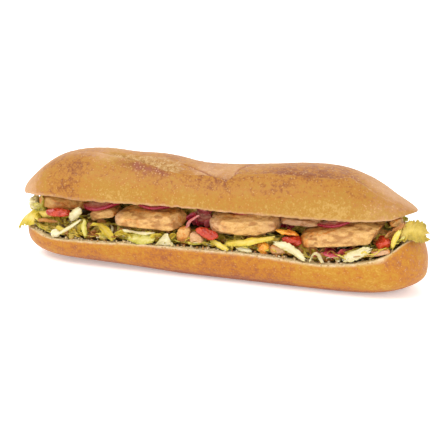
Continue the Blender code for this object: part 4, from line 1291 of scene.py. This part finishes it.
# name: (points along the middle, direction across, width at the middle, thickness, ruffle height, waves)
LEAVES: dict[str, tuple[Sequence[Point], Point, float, float, float, float]] = {
    "leaf_left_end": (((-124.2, -22, 28.2), (-128.5, -20.5, 30.2), (-134.5, -18.8, 29.2),
                       (-139.6, -17.8, 23.2)),
                      (0.3, 0.75, 0.6), 13.0, 1.0, 1.2, 2.5),
    "leaf_left_olive": (((-123.5, -18.5, 33.2), (-118, -20.5, 33.6), (-111, -21.5, 33.4)),
                        (0.0, 0.5, 0.9), 4.8, 0.9, 0.4, 1.5),
    "leaf_brown": (((-121.8, -22.5, 28.8), (-116, -24.4, 30.0), (-107, -25.0, 29.8)),
                   (0.0, 1.0, 0.35), 4.4, 1.0, 0.4, 1.0),
    "leaf_olive": (((-124, -21, 24.6), (-112, -24.4, 25.0), (-99, -25.2, 24.6)),
                   (0.0, 0.6, 0.8), 4.0, 0.9, 0.5, 2.0),
    "leaf_diagonal": (((-102.5, -28.8, 23.0), (-93.5, -29.0, 28.4), (-86.5, -27.4, 33.4)),
                      (0.3, 0.4, 0.9), 3.8, 1.0, 0.2, 1.0),
    "leaf_strip": (((-84.6, -25.2, 33.4), (-83.8, -28.4, 29.0), (-82.2, -29.4, 23.4)),
                   (1.0, 0.1, 0.1), 4.0, 0.9, 0.2, 1.0),
    "leaf_curl": (((-79.5, -24, 29.6), (-72, -28.0, 31.6), (-66, -29.6, 28.0), (-62, -30.4, 22.8)),
                  (0.5, 0.75, -0.2), 7.4, 0.9, 0.5, 1.5),
    "leaf_cream": (((-54, -28.0, 30.0), (-43, -28.6, 29.4), (-32, -28.4, 30.0)),
                   (0.0, 1.0, 0.1), 3.4, 0.9, 0.3, 1.5),
    "leaf_wedge": (((-51, -27.4, 24.8), (-42, -29.2, 25.3), (-32, -29.2, 25.5)),
                   (0.1, 0.55, 1.0), 6.8, 0.9, 0.6, 1.5),
    "leaf_pointed": (((-23.6, -29.4, 22.7), (-23.4, -29.2, 26.6), (-22.6, -28.4, 30.6)),
                     (1.0, 0.0, 0.05), 13.4, 0.9, 0.4, 1.0),
    "leaf_slant": (((6.0, -25.0, 27.8), (13.5, -29.0, 26.6), (20.0, -30.0, 24.2)),
                   (0.3, 0.3, 0.9), 3.4, 0.9, 0.3, 1.0),
    "leaf_yellow": (((17.5, -27.6, 27.4), (27, -29.4, 29.8), (37, -29.2, 32.0), (48.5, -26.6, 34.4)),
                    (0.0, 0.8, 0.5), 5.6, 0.9, 0.5, 2.0),
    "leaf_right_end": (((125.4, -19.2, 40.4), (129.5, -17.4, 43.6), (134.5, -13.5, 43.2), (140.0, -8.5, 39.6)),
                       (0.0, 0.35, 0.95), 12.6, 1.0, 1.0, 2.5),
    "leaf_right_rib": (((121.0, -23.4, 33.8), (122.2, -22.6, 38.8), (124.8, -21.4, 44.6)),
                       (0.9, 0.3, -0.3), 3.4, 1.0, 0.2, 1.0),
    "leaf_back_1": (((-92, 24, 30.5), (-82, 28.5, 28.5), (-72, 28.6, 26.6)),
                    (0.0, 0.6, -0.9), 7.0, 0.9, 0.7, 1.5),
    "leaf_back_2": (((-52, 27.5, 26.0), (-40, 29.0, 27.0), (-30, 28.5, 25.6)),
                    (0.0, 0.6, -0.9), 6.4, 0.9, 0.7, 2.0),
    "leaf_back_3": (((22, 28.0, 26.2), (34, 29.2, 27.2), (46, 28.4, 25.8)),
                    (0.0, 0.6, -0.9), 6.6, 0.9, 0.8, 2.0),
    "leaf_back_4": (((66, 28.2, 26.4), (78, 29.4, 27.2), (92, 28.0, 27.0)),
                    (0.0, 0.6, -0.9), 6.6, 0.9, 0.8, 2.0),
    "cabbage_rib": (((-95.2, -24.2, 31.8), (-91.2, -26.6, 36.6), (-86.4, -26.8, 41.6)),
                    (0.75, 0.3, -0.55), 6.2, 1.4, 0.3, 1.0),
    "cabbage_bit": (((24.5, -27.8, 25.4), (30, -29.2, 25.2), (35.5, -29.4, 24.5)),
                    (0.2, 0.5, 0.8), 3.2, 0.9, 0.3, 1.0),
    "cabbage_curl": (((49.5, -29.6, 31.6), (58, -30.2, 30.4), (64.5, -30.6, 26.6), (70, -30.6, 22.8)),
                     (0.3, 0.45, 0.85), 4.8, 1.0, 0.3, 1.0),
    "cabbage_arch": (((72.6, -30.2, 22.2), (74.2, -29.8, 26.6), (76.4, -30.0, 28.0), (78.6, -29.9, 26.2),
                      (80.8, -30.2, 22.2)), (0.2, 0.9, 0.1), 4.4, 1.0, 0.2, 1.0),
    "cabbage_fringe": (((93.5, -28.8, 25.4), (100.5, -28.4, 28.6), (108.5, -26.4, 32.6)),
                       (-0.3, 0.4, 0.9), 6.0, 1.0, 0.5, 2.0),
    "onion_strip": (((-9.4, -27.0, 35.6), (-6.6, -28.6, 40.6), (-1.0, -28.0, 44.4)),
                    (0.3, 1.0, -0.2), 3.4, 1.1, 0.0, 1.0),
}

# How far a leaf narrows from its first end to its last, from 0 to 1
TAPERS: dict[str, float] = {"leaf_pointed": 1.0}

LEAF_LOOKS: dict[str, LeafKind] = {
    "leaf_left_end": LeafKind.YELLOW, "leaf_left_olive": LeafKind.OLIVE,
    "leaf_brown": LeafKind.BROWNED, "leaf_olive": LeafKind.OLIVE, "leaf_diagonal": LeafKind.CREAM,
    "leaf_strip": LeafKind.GREEN, "leaf_curl": LeafKind.YELLOW, "leaf_cream": LeafKind.CREAM,
    "leaf_wedge": LeafKind.GREEN, "leaf_pointed": LeafKind.CREAM, "leaf_slant": LeafKind.YELLOW,
    "leaf_yellow": LeafKind.YELLOW, "leaf_right_end": LeafKind.OLIVE, "leaf_right_rib": LeafKind.YELLOW,
    "leaf_back_1": LeafKind.YELLOW, "leaf_back_2": LeafKind.GREEN, "leaf_back_3": LeafKind.YELLOW,
    "leaf_back_4": LeafKind.GREEN, "cabbage_rib": LeafKind.CREAM, "cabbage_bit": LeafKind.CREAM,
    "cabbage_curl": LeafKind.CREAM, "cabbage_arch": LeafKind.CREAM, "cabbage_fringe": LeafKind.CREAM,
    "onion_strip": LeafKind.ONION,
}


@dataclass
class Leaves:
    """The single leaves, ribs and strips that show, each a ruffled ribbon along its path."""

    along: int = 110
    sides: int = 29

    def build(self, finishes: Mapping[LeafKind, bpy.types.Material]) -> list[bpy.types.Object]:
        """Makes each leaf: half width w/2 * (1 - 0.55 |2u - 1|^2.5), with a crinkled edge.

        Args:
            finishes: The material of each kind of leaf.

        Returns:
            The pieces.
        """
        made = []
        for number, (node, spec) in enumerate(LEAVES.items()):
            points, across, width, thickness, ruffle, turns = spec
            middle = path_points(points, self.along)[None]
            direction = np.broadcast_to(unit(np.array(across, float)), middle.shape)
            u = np.linspace(0.0, 1.0, self.along)[:, None]
            side = np.linspace(-1.0, 1.0, self.sides)[None, :]
            frill = fractal(together(u * 40.0, side * 3.0, number), 5.0, 3, 80)
            wave = ruffle * side * np.abs(side) * np.sin(2.0 * math.pi * turns * u + 1.0)
            cup = 0.14 * width * (side ** 2 - 0.3) * (1.0, -1.0)[number % 2]
            lift = (wave + cup + 0.30 * width ** 0.5 * (0.3 + 0.7 * side ** 2) * frill)[None]
            rim = together(u * 40.0, np.sign(side) * 6.0, number)
            torn = 0.22 * fractal(rim, 4.0, 3, 81) + 0.20 * np.abs(fractal(rim, 1.1, 2, 82)) - 0.04
            taper = TAPERS.get(node, 0.0)
            narrowing = (1.0 - 0.55 * (1.0 - taper) * np.abs(2.0 * u - 1.0) ** 2.5) * (1.0 - 0.85 * taper * u)
            half = 0.5 * width * narrowing * (1.0 + torn * (1.0 - 0.7 * taper))
            bands, away = ribbon_bands(middle, direction, half[None], 0.65 * thickness, lift)
            frayed = fractal(together(side[0] * 6.0, 0.0, number), 2.2, 2, 83)
            frayed = np.concatenate((frayed, frayed[::-1])) * 0.24 * width * (1.0 - taper)
            ends = (2.0 * u - 1.0) * np.abs(2.0 * u - 1.0) ** 3
            onward = unit(np.gradient(middle[0], axis=0))[:, None, :]
            bands = bands + (onward * (ends * frayed)[..., None])[None]
            slot = {"leaf": Slot.LETTUCE, "cabbage": Slot.CABBAGE, "onion": Slot.ONION}[node.split("_")[0]]
            traits = {"side": away, "tone": 0.0 * away + 0.5, "layer": away * 0.35}
            piece = make_piece(f"single_{node}", *join_bands(bands), traits)
            made.append(place_piece(piece, finishes[LEAF_LOOKS[node]], slot, node))
        return made


# Shreds that stick out of the bed: (points along the middle, direction across, width)
SHREDS: tuple[tuple[Sequence[Point], Point, float], ...] = (
    (((-70, -11, 22.6), (-72, -22, 23.6), (-74, -28.0, 22.6)), (1.0, -0.1, 0.1), 4.0),
    (((22, -11, 23.6), (26, -22, 24.0), (28, -27.0, 24.2)), (1.0, -0.2, 0.1), 6.0),
    (((86, -11, 22.6), (88, -22, 23.6), (90, -27.5, 23.2)), (1.0, 0.1, 0.1), 4.0),
    (((-62, 11, 22.6), (-64, 24, 25.0), (-66, 29.5, 22.6)), (1.0, 0.2, 0.1), 3.0),
    (((-22, 11, 23.6), (-20, 24, 26.0), (-22, 30.0, 24.0)), (1.0, 0.1, 0.2), 3.4),
    (((-8, 11, 23.6), (-10, 23, 26.5), (-8, 29.5, 24.0)), (1.0, -0.2, 0.2), 3.0),
    (((56, 11, 23.6), (54, 24, 26.5), (56, 30.0, 24.0)), (1.0, 0.1, -0.2), 3.2),
    (((102, 11, 26.6), (106, 20, 32.0), (108, 25.0, 30.0)), (1.0, -0.3, 0.2), 3.4),
    (((-112, 11, 21.6), (-114, 20, 24.0), (-116, 25.0, 22.6)), (1.0, 0.2, 0.1), 4.0),
)


@dataclass(frozen=True)
class Scatter:
    """One kind of strip that lies loose on the heap: how many, how large in millimetres and how crumpled."""

    name: str
    slot: Slot
    count: int
    width: Pair
    length: Pair
    crumple: float
    seed: int
    near: float = 12.0
    reach: float = 27.0
    steps: int = 11
    sides: int = 3
    stand: float = 0.35
    span: Pair = (-112.0, 114.0)
    rise: Pair = (0.0, 0.0)


# Every kind of strip, in the order of their making
STRIPS: tuple[tuple[LeafKind, Scatter], ...] = (
    (LeafKind.GREEN, Scatter("shreds_lettuce", Slot.LETTUCE, 90, (2.0, 4.4), (10.0, 26.0), 0.5, 5)),
    (LeafKind.YELLOW, Scatter("shreds_yellow", Slot.LETTUCE, 110, (2.0, 4.0), (10.0, 26.0), 0.5, 6)),
    (LeafKind.CREAM, Scatter("shreds_cabbage", Slot.CABBAGE, 50, (1.2, 2.4), (10.0, 24.0), 0.3, 7)),
    (LeafKind.YELLOW, Scatter("leaves_torn", Slot.LETTUCE, 70, (5.0, 8.5), (9.0, 18.0), 2.2, 8, 20.0, 26.5,
                              19, 11, 0.9)),
    (LeafKind.OLIVE, Scatter("leaves_olive", Slot.LETTUCE, 70, (5.0, 8.5), (8.0, 16.0), 2.2, 9, 19.0, 26.0,
                             19, 11, 0.9)),
    (LeafKind.BROWNED, Scatter("leaves_browned", Slot.LETTUCE, 96, (4.5, 7.5), (7.0, 14.0), 2.0, 10, 18.0, 26.0,
                               17, 9, 0.9)),
    (LeafKind.GREEN, Scatter("leaves_tip", Slot.LETTUCE, 26, (6.0, 9.0), (6.0, 10.0), 2.4, 13, 0.0, 15.0,
                             19, 11, 1.2, (-131.0, -121.0), (4.0, 15.0))),
    (LeafKind.YELLOW, Scatter("shreds_left", Slot.LETTUCE, 60, (2.5, 5.5), (8.0, 16.0), 1.0, 15, 0.0, 20.0,
                              15, 7, 0.3, (-128.0, -108.0))),
    (LeafKind.GREEN, Scatter("shreds_right", Slot.LETTUCE, 60, (2.5, 5.5), (8.0, 16.0), 1.0, 16, 0.0, 20.0,
                             15, 7, 0.3, (104.0, 122.0))),
    (LeafKind.OLIVE, Scatter("leaves_left", Slot.LETTUCE, 26, (6.0, 10.0), (8.0, 14.0), 2.4, 11, 2.0, 19.0,
                             19, 11, 1.1, (-124.0, -104.0), (0.0, 8.0))),
    (LeafKind.BROWNED, Scatter("leaves_tan", Slot.LETTUCE, 14, (6.0, 9.0), (8.0, 14.0), 2.4, 12, 4.0, 19.0,
                               19, 11, 1.1, (112.0, 122.0), (0.0, 8.0))),
    (LeafKind.GREEN, Scatter("leaves_right", Slot.LETTUCE, 26, (6.0, 9.0), (8.0, 14.0), 2.4, 20, 0.0, 16.0,
                             19, 11, 1.1, (104.0, 122.0), (0.0, 7.0))),
    (LeafKind.OLIVE, Scatter("leaves_inner", Slot.LETTUCE, 270, (6.0, 9.0), (12.0, 20.0), 2.0, 22, 0.0, 9.0,
                             15, 7, 1.2, (-122.0, 108.0), (1.0, 16.0))),
    (LeafKind.ONION, Scatter("onion_chopped", Slot.ONION, 20, (4.0, 7.0), (8.0, 14.0), 1.0, 17, 4.0, 16.0,
                             13, 7, 1.0, (-10.0, 4.0), (2.0, 10.0))),
    (LeafKind.ONION, Scatter("onion_deep", Slot.ONION, 34, (4.0, 7.0), (8.0, 16.0), 1.0, 18, 0.0, 14.0,
                             13, 7, 1.0, (42.0, 64.0), (3.0, 12.0))),
    (LeafKind.ONION, Scatter("onion_right", Slot.ONION, 16, (4.0, 6.5), (8.0, 14.0), 1.0, 19, 18.0, 24.0,
                             13, 7, 0.9, (76.0, 94.0))),
)


@dataclass
class LettuceBed:
    """The heap of shredded lettuce and cabbage: a ruffled core with shreds over it and out to the rim."""

    bread: BreadBottom
    left: float = -129.0
    right: float = 125.0
    half_width: float = 22.5
    clearance: float = 0.6
    ruffle: float = 0.8
    rings: int = 300
    over_steps: int = 60
    under_steps: int = 8

    def outline(self, x: Array) -> tuple[Array, Array]:
        """How full the heap is at x, from 0 at its tips to 1, and its half width there."""
        end_share = np.sqrt(plan_share(x, self.left, self.right, (4.0, 4.0)))
        return end_share, self.half_width * end_share * (1.0 + 0.04 * waves(0.09 * x, 3.0, 0.0))

    def heap_height(self, x: Array, y: Array) -> Array:
        """Height of the heap's surface: a rounded top that runs out just over the crumb towards the rim."""
        end_share, half = self.outline(x)
        floor = self.bread.crumb_height(x, y) + self.clearance
        share = np.abs(y) / np.maximum(half, 0.1)
        rounded = (0.45 + 0.55 * end_share) * np.sqrt(np.maximum(1.0 - share ** 4, 0.0))
        heap = floor + (along(x, BED_TOP) - floor) * rounded + self.ruffle * waves(0.11 * x, 0.12 * y, 1.0)
        return np.maximum(heap, floor + 1.0)

    def build_core(self, finish: bpy.types.Material) -> bpy.types.Object:
        """Makes the core: along the crumb from front to back, then forward over its crinkled top.

        Args:
            finish: The lettuce's material.

        Returns:
            The piece, which stands for the bed's solid.
        """
        x = stations(self.left, self.right, self.rings)[:, None]
        end_share, half = self.outline(x)
        under = half * np.linspace(-1.0, 1.0, self.under_steps + 1)[None, :]
        over = half * np.linspace(1.0, -1.0, self.over_steps + 1)[None, 1:-1]
        under_z = self.bread.crumb_height(x, under) + self.clearance
        over_z = self.heap_height(x, over)
        crinkle = 0.9 * fractal(together(x, over, over_z), (9.0, 4.0, 4.0), 4, 90)
        over_z = over_z + crinkle * np.minimum(end_share * 1.5 - 0.5, 1.0)
        y, z = np.concatenate((under, over), axis=1), np.concatenate((under_z, over_z), axis=1)
        places = together(x, y, z)
        side = 0.5 + 0.5 * fractal(places, (10.0, 3.5, 3.5), 3, 91)
        piece = make_loft("lettuce_core", places, {"side": np.clip(side, 0, 1), "tone": 0.75 + 0.0 * side})
        return place_piece(piece, finish, Slot.LETTUCE, "lettuce_bed")

    def build_scatter(self, scatter: Scatter, finish: bpy.types.Material) -> bpy.types.Object:
        """Scatters strips over the heap, each following its surface with a curl and a crumple of its own.

        Args:
            scatter: What kind of strips, and how many.
            finish: Their material.

        Returns:
            The strips as one piece.
        """
        draw = np.random.default_rng(scatter.seed)
        count, steps, sides = scatter.count, scatter.steps, scatter.sides
        x0 = draw.uniform(*scatter.span, count)
        outward = draw.choice((-1.0, 1.0), count)
        y0 = outward * draw.uniform(scatter.near, scatter.reach, count)
        yaw = draw.normal(0.0, 0.55, count)
        bend = draw.normal(0.0, 0.9, count)
        length = draw.uniform(*scatter.length, count)
        s = np.linspace(-0.5, 0.5, steps)[None, :]
        heading = yaw[:, None] + bend[:, None] * s
        x = x0[:, None] + length[:, None] * s * np.cos(heading)
        y = y0[:, None] + length[:, None] * s * np.sin(heading)
        limit = HALF_WIDTH * plan_share(x, self.bread.left, self.bread.right, self.bread.bluntness) - 4.0
        y = np.clip(y, -limit, limit)
        lift = draw.uniform(0.6, 2.4, count)[:, None] + draw.uniform(0.2, 1.2, count)[:, None] * np.sin(
            draw.uniform(0.0, 6.3, count)[:, None] + draw.uniform(4.0, 9.0, count)[:, None] * s)
        half = 0.5 * draw.uniform(*scatter.width, count)[:, None] * (1.0 - 0.5 * np.abs(2.0 * s) ** 4)
        lift = np.maximum(lift, 0.4) + 0.5 * math.sin(scatter.stand) * half
        lift = lift + draw.uniform(*scatter.rise, count)[:, None]
        middles = np.stack((x, y, self.heap_height(x, y) + lift), axis=-1)
        tangent = unit(np.gradient(middles, axis=1))
        roll = outward[:, None] * (scatter.stand + draw.normal(0.0, 0.35, count)[:, None])
        roll = roll + draw.normal(0.0, 0.8, count)[:, None] * s
        level = unit(np.cross(np.broadcast_to((0.0, 0.0, 1.0), tangent.shape), tangent))
        upward = np.cross(tangent, level)
        across = level * np.cos(roll)[..., None] + upward * np.sin(roll)[..., None]
        sideways = half[:, :, None] * np.linspace(-1.0, 1.0, sides)
        spread = middles[:, :, None, :] + across[:, :, None, :] * sideways[..., None]
        own_place = spread + 40.0 * np.arange(count)[:, None, None, None]
        crumple = scatter.crumple * fractal(own_place, 5.0, 3, scatter.seed)
        torn = 0.30 * fractal(own_place, 2.6, 3, scatter.seed + 60) if sides > 5 else 0.0
        bands, away = ribbon_bands(middles, across, half[..., None] * (1.0 + torn), 0.55, crumple)
        tone = np.broadcast_to(draw.uniform(0.0, 1.0, count)[:, None, None], away.shape)
        # For onion strips, layer sits high, so they show mostly dark skin: partly the onion's own skin, partly
        # painted shade deep in the filling.
        traits = {"side": away, "tone": tone, "layer": 0.45 + 0.55 * tone}
        piece = make_piece(scatter.name, *join_bands(bands), traits)
        return place_piece(piece, finish, scatter.slot)

    def build_crumbs(self, finish: bpy.types.Material, count: int = 420) -> bpy.types.Object:
        """Strews crumbs of the bread along both rims and over the filling's outer edge.

        Args:
            finish: The bread's material, whose crumb part they show.
            count: How many.

        Returns:
            The crumbs as one piece, each a small uneven block.
        """
        draw = np.random.default_rng(14)
        rings, around = 5, 6
        a = np.linspace(0.0, 2.0 * math.pi, around, endpoint=False)[None, :]
        b = np.linspace(0.15, math.pi - 0.15, rings)[:, None]
        ball = together(np.sin(b) * np.cos(a), np.sin(b) * np.sin(a), np.cos(b))
        lid = np.array([(3, 2, 1, 0), (5, 4, 3, 0), (24, 25, 26, 27), (24, 27, 28, 29)])
        x = draw.uniform(-126.0, 122.0, count)
        limit = HALF_WIDTH * plan_share(x, self.bread.left, self.bread.right, self.bread.bluntness)
        y = draw.choice((-1.0, 1.0), count) * (limit - draw.uniform(2.4, 9.0, count))
        size = draw.uniform(0.35, 1.15, count)
        z = self.bread.crumb_height(x, y) + 0.6 * size
        uneven = 1.0 + draw.normal(0.0, 0.16, (count, rings, around, 1))
        block = ball[None] * uneven * draw.uniform(0.6, 1.0, (count, 1, 1, 3))
        places = block * size[:, None, None, None] + np.stack((x, y, z), axis=-1)[:, None, None, :]
        places = places.reshape(-1, 3)
        one = np.concatenate((grid_faces(rings, around), lid))
        faces = (one[None] + rings * around * np.arange(count)[:, None, None]).reshape(-1, 4)
        toasted = np.repeat(draw.uniform(0.0, 1.0, count) > 0.72, rings * around)
        traits = {"bake": 0.5 * toasted, "flour": 0.3 * toasted, "bloom": 0.0 * toasted,
                  "char": 0.0 * toasted, "crumb": 1.0 - 0.8 * toasted}
        piece = make_piece("bread_crumbs", places, facing_out(places, faces), traits)
        return place_piece(piece, finish, Slot.CRUST)

    def build_showing(self, finish: bpy.types.Material) -> bpy.types.Object:
        """Makes the shreds that the bed's solid has fused on, along the same paths.

        Args:
            finish: Their material.

        Returns:
            The shreds as one piece.
        """
        steps, sides = 40, 9
        middles = np.stack([path_points(points, steps) for points, _, _ in SHREDS])
        across = np.stack([np.broadcast_to(unit(np.array(a, float)), (steps, 3)) for _, a, _ in SHREDS])
        u = np.linspace(0.0, 1.0, steps)
        widths = np.array([w for _, _, w in SHREDS])[:, None]
        half = 0.5 * widths * (1.0 - 0.55 * np.abs(2.0 * u - 1.0) ** 2.5)
        side = np.linspace(-1.0, 1.0, sides)
        lift = 0.2 * side * np.abs(side) * np.sin(2.0 * math.pi * u + 1.0)[:, None]
        lift = lift + 0.25 * fractal(middles, 4.0, 2, 95)[:, :, None] * np.abs(side)
        bands, away = ribbon_bands(middles, across, half[..., None], 0.9, lift)
        tone = np.broadcast_to(np.linspace(0.0, 0.5, len(SHREDS))[:, None, None], away.shape)
        piece = make_piece("shreds_showing", *join_bands(bands), {"side": away, "tone": tone})
        return place_piece(piece, finish, Slot.LETTUCE)


# The studio


@dataclass(frozen=True)
class Studio:
    """A pale floor, soft light from above and the camera at the photograph's angle."""

    azimuth: float = 18.57
    elevation: float = 16.0
    distance: float = 521.5
    target: Point = (6.6, 0.0, 32.3)
    focal_pixels: float = 774.8
    picture_pixels: float = 447.0
    sensor: float = 36.0
    world_light: float = 0.98

    def build(self) -> None:
        """Makes the floor, lights, world and camera."""
        self.floor()
        self.light("key_light", (-420.0, -560.0, 900.0), 420.0, 5.0)
        self.light("fill_light", (520.0, -620.0, 420.0), 500.0, 1.4)
        self.light("back_light", (60.0, 620.0, 760.0), 500.0, 1.5)
        world = bpy.data.worlds.new("studio")
        world.use_nodes = True
        background = world.node_tree.nodes["Background"]
        background.inputs[0].default_value = (1.0, 1.0, 1.0, 1.0)
        background.inputs[1].default_value = self.world_light
        bpy.context.scene.world = world
        bpy.context.scene.view_settings.view_transform = "Standard"
        self.camera()

    def floor(self) -> None:
        """A wide pale sweep: level under the loaf, curving up into a wall far behind it."""
        half_width, radius, behind, wall_top, below_loaf = 5200.0, 900.0, 2600.0, 4200.0, 0.02
        run = half_width * np.linspace(-1.0, 1.0, 60)[:, None]
        turn = np.linspace(0.0, math.pi / 2.0, 24)
        level = (-3000.0, -1000.0, 0.0, 1000.0)
        depth = np.concatenate((level, behind + radius * np.sin(turn), (behind + radius,)))
        height = np.concatenate((np.zeros(len(level)), radius * (1.0 - np.cos(turn)), (wall_top,)))
        places = together(run, depth, height - below_loaf)
        faces = grid_faces(*places.shape[:2], wrapped=False)
        sweep = make_piece("studio_floor", places.reshape(-1, 3), faces)
        paint = Paint("studio_white")
        cloud = paint.noise(400.0, 1.0)
        normal = paint.bump(cloud, 0.01)
        white = paint.finish((0.97, 0.97, 0.97), 0.75 + cloud * 0.05, normal, Specular_IOR_Level=0.1,
                             Emission_Color=(1.0, 0.99, 0.98), Emission_Strength=0.30)
        sweep.data.materials.append(white)

    @staticmethod
    def light(name: str, place: Point, size: float, power: float) -> None:
        """A square soft light that faces the loaf, placed in millimetres."""
        lamp = bpy.data.lights.new(name, "AREA")
        lamp.size = size * MM
        lamp.energy = power
        holder = bpy.data.objects.new(name, lamp)
        holder.location = Vector(place) * MM
        toward_loaf = Vector((0.0, 0.0, 0.03)) - holder.location
        holder.rotation_euler = toward_loaf.to_track_quat("-Z", "Y").to_euler()
        bpy.context.scene.collection.objects.link(holder)

    def camera(self) -> None:
        """The camera on a sphere round its target, level, with the lens that gives the photograph's scale."""
        lens = bpy.data.cameras.new("camera")
        lens.sensor_width = self.sensor
        lens.lens = self.focal_pixels / self.picture_pixels * self.sensor
        lens.clip_start = 0.01
        lens.clip_end = 30.0
        holder = bpy.data.objects.new("camera", lens)
        a, e = math.radians(self.azimuth), math.radians(self.elevation)
        back = Vector((math.sin(a) * math.cos(e), -math.cos(a) * math.cos(e), math.sin(e)))
        target = Vector(self.target) * MM + Vector(SHIFT)
        holder.location = target + back * self.distance * MM
        holder.rotation_euler = (-back).to_track_quat("-Z", "Y").to_euler()
        bpy.context.scene.collection.objects.link(holder)
        bpy.context.scene.camera = holder


def main() -> None:
    top_crust = CrustFinish("crust_top").material()
    bottom_crust = CrustFinish("crust_bottom", (0.56, 0.30, 0.055), (0.47, 0.232, 0.024), (0.46, 0.172, 0.020),
                               (0.31, 0.095, 0.032)).material()
    fillet = FilletFinish().material()
    leaves = {kind: finish.material() for kind, finish in LEAF_FINISHES.items()}
    tomato = WetFinish("tomato_flesh", (0.30, 0.014, 0.004), (0.52, 0.042, 0.010), (0.64, 0.20, 0.10)).material()
    pepper = WetFinish("pepper_flesh", (0.66, 0.17, 0.010), (0.78, 0.36, 0.03), (0.80, 0.56, 0.20)).material()

    bottom = BreadBottom()
    log.info("made %s", bottom.build(bottom_crust).name)
    log.info("made %s", BreadTop().build(top_crust).name)
    bed = LettuceBed(bottom)
    log.info("made %s", bed.build_core(leaves[LeafKind.CORE_SHADE]).name)
    for kind, scatter in STRIPS:
        log.info("made %s", bed.build_scatter(scatter, leaves[kind]).name)
    log.info("made %s", bed.build_showing(leaves[LeafKind.CREAM]).name)
    log.info("made %s", bed.build_crumbs(bottom_crust).name)
    wet = {Slot.TOMATO: tomato, Slot.PEPPER: pepper, Slot.ONION: leaves[LeafKind.ONION],
           Slot.CABBAGE: leaves[LeafKind.CREAM]}
    for piece in (*Fillets().build(fillet), *Chunks().build(wet),
                  *Onions().build(leaves[LeafKind.ONION]), *Leaves().build(leaves)):
        log.info("made %s", piece.name)
    Studio().build()


if __name__ == "__main__":
    logging.basicConfig(level=logging.INFO, format="%(name)s: %(message)s")
    main()
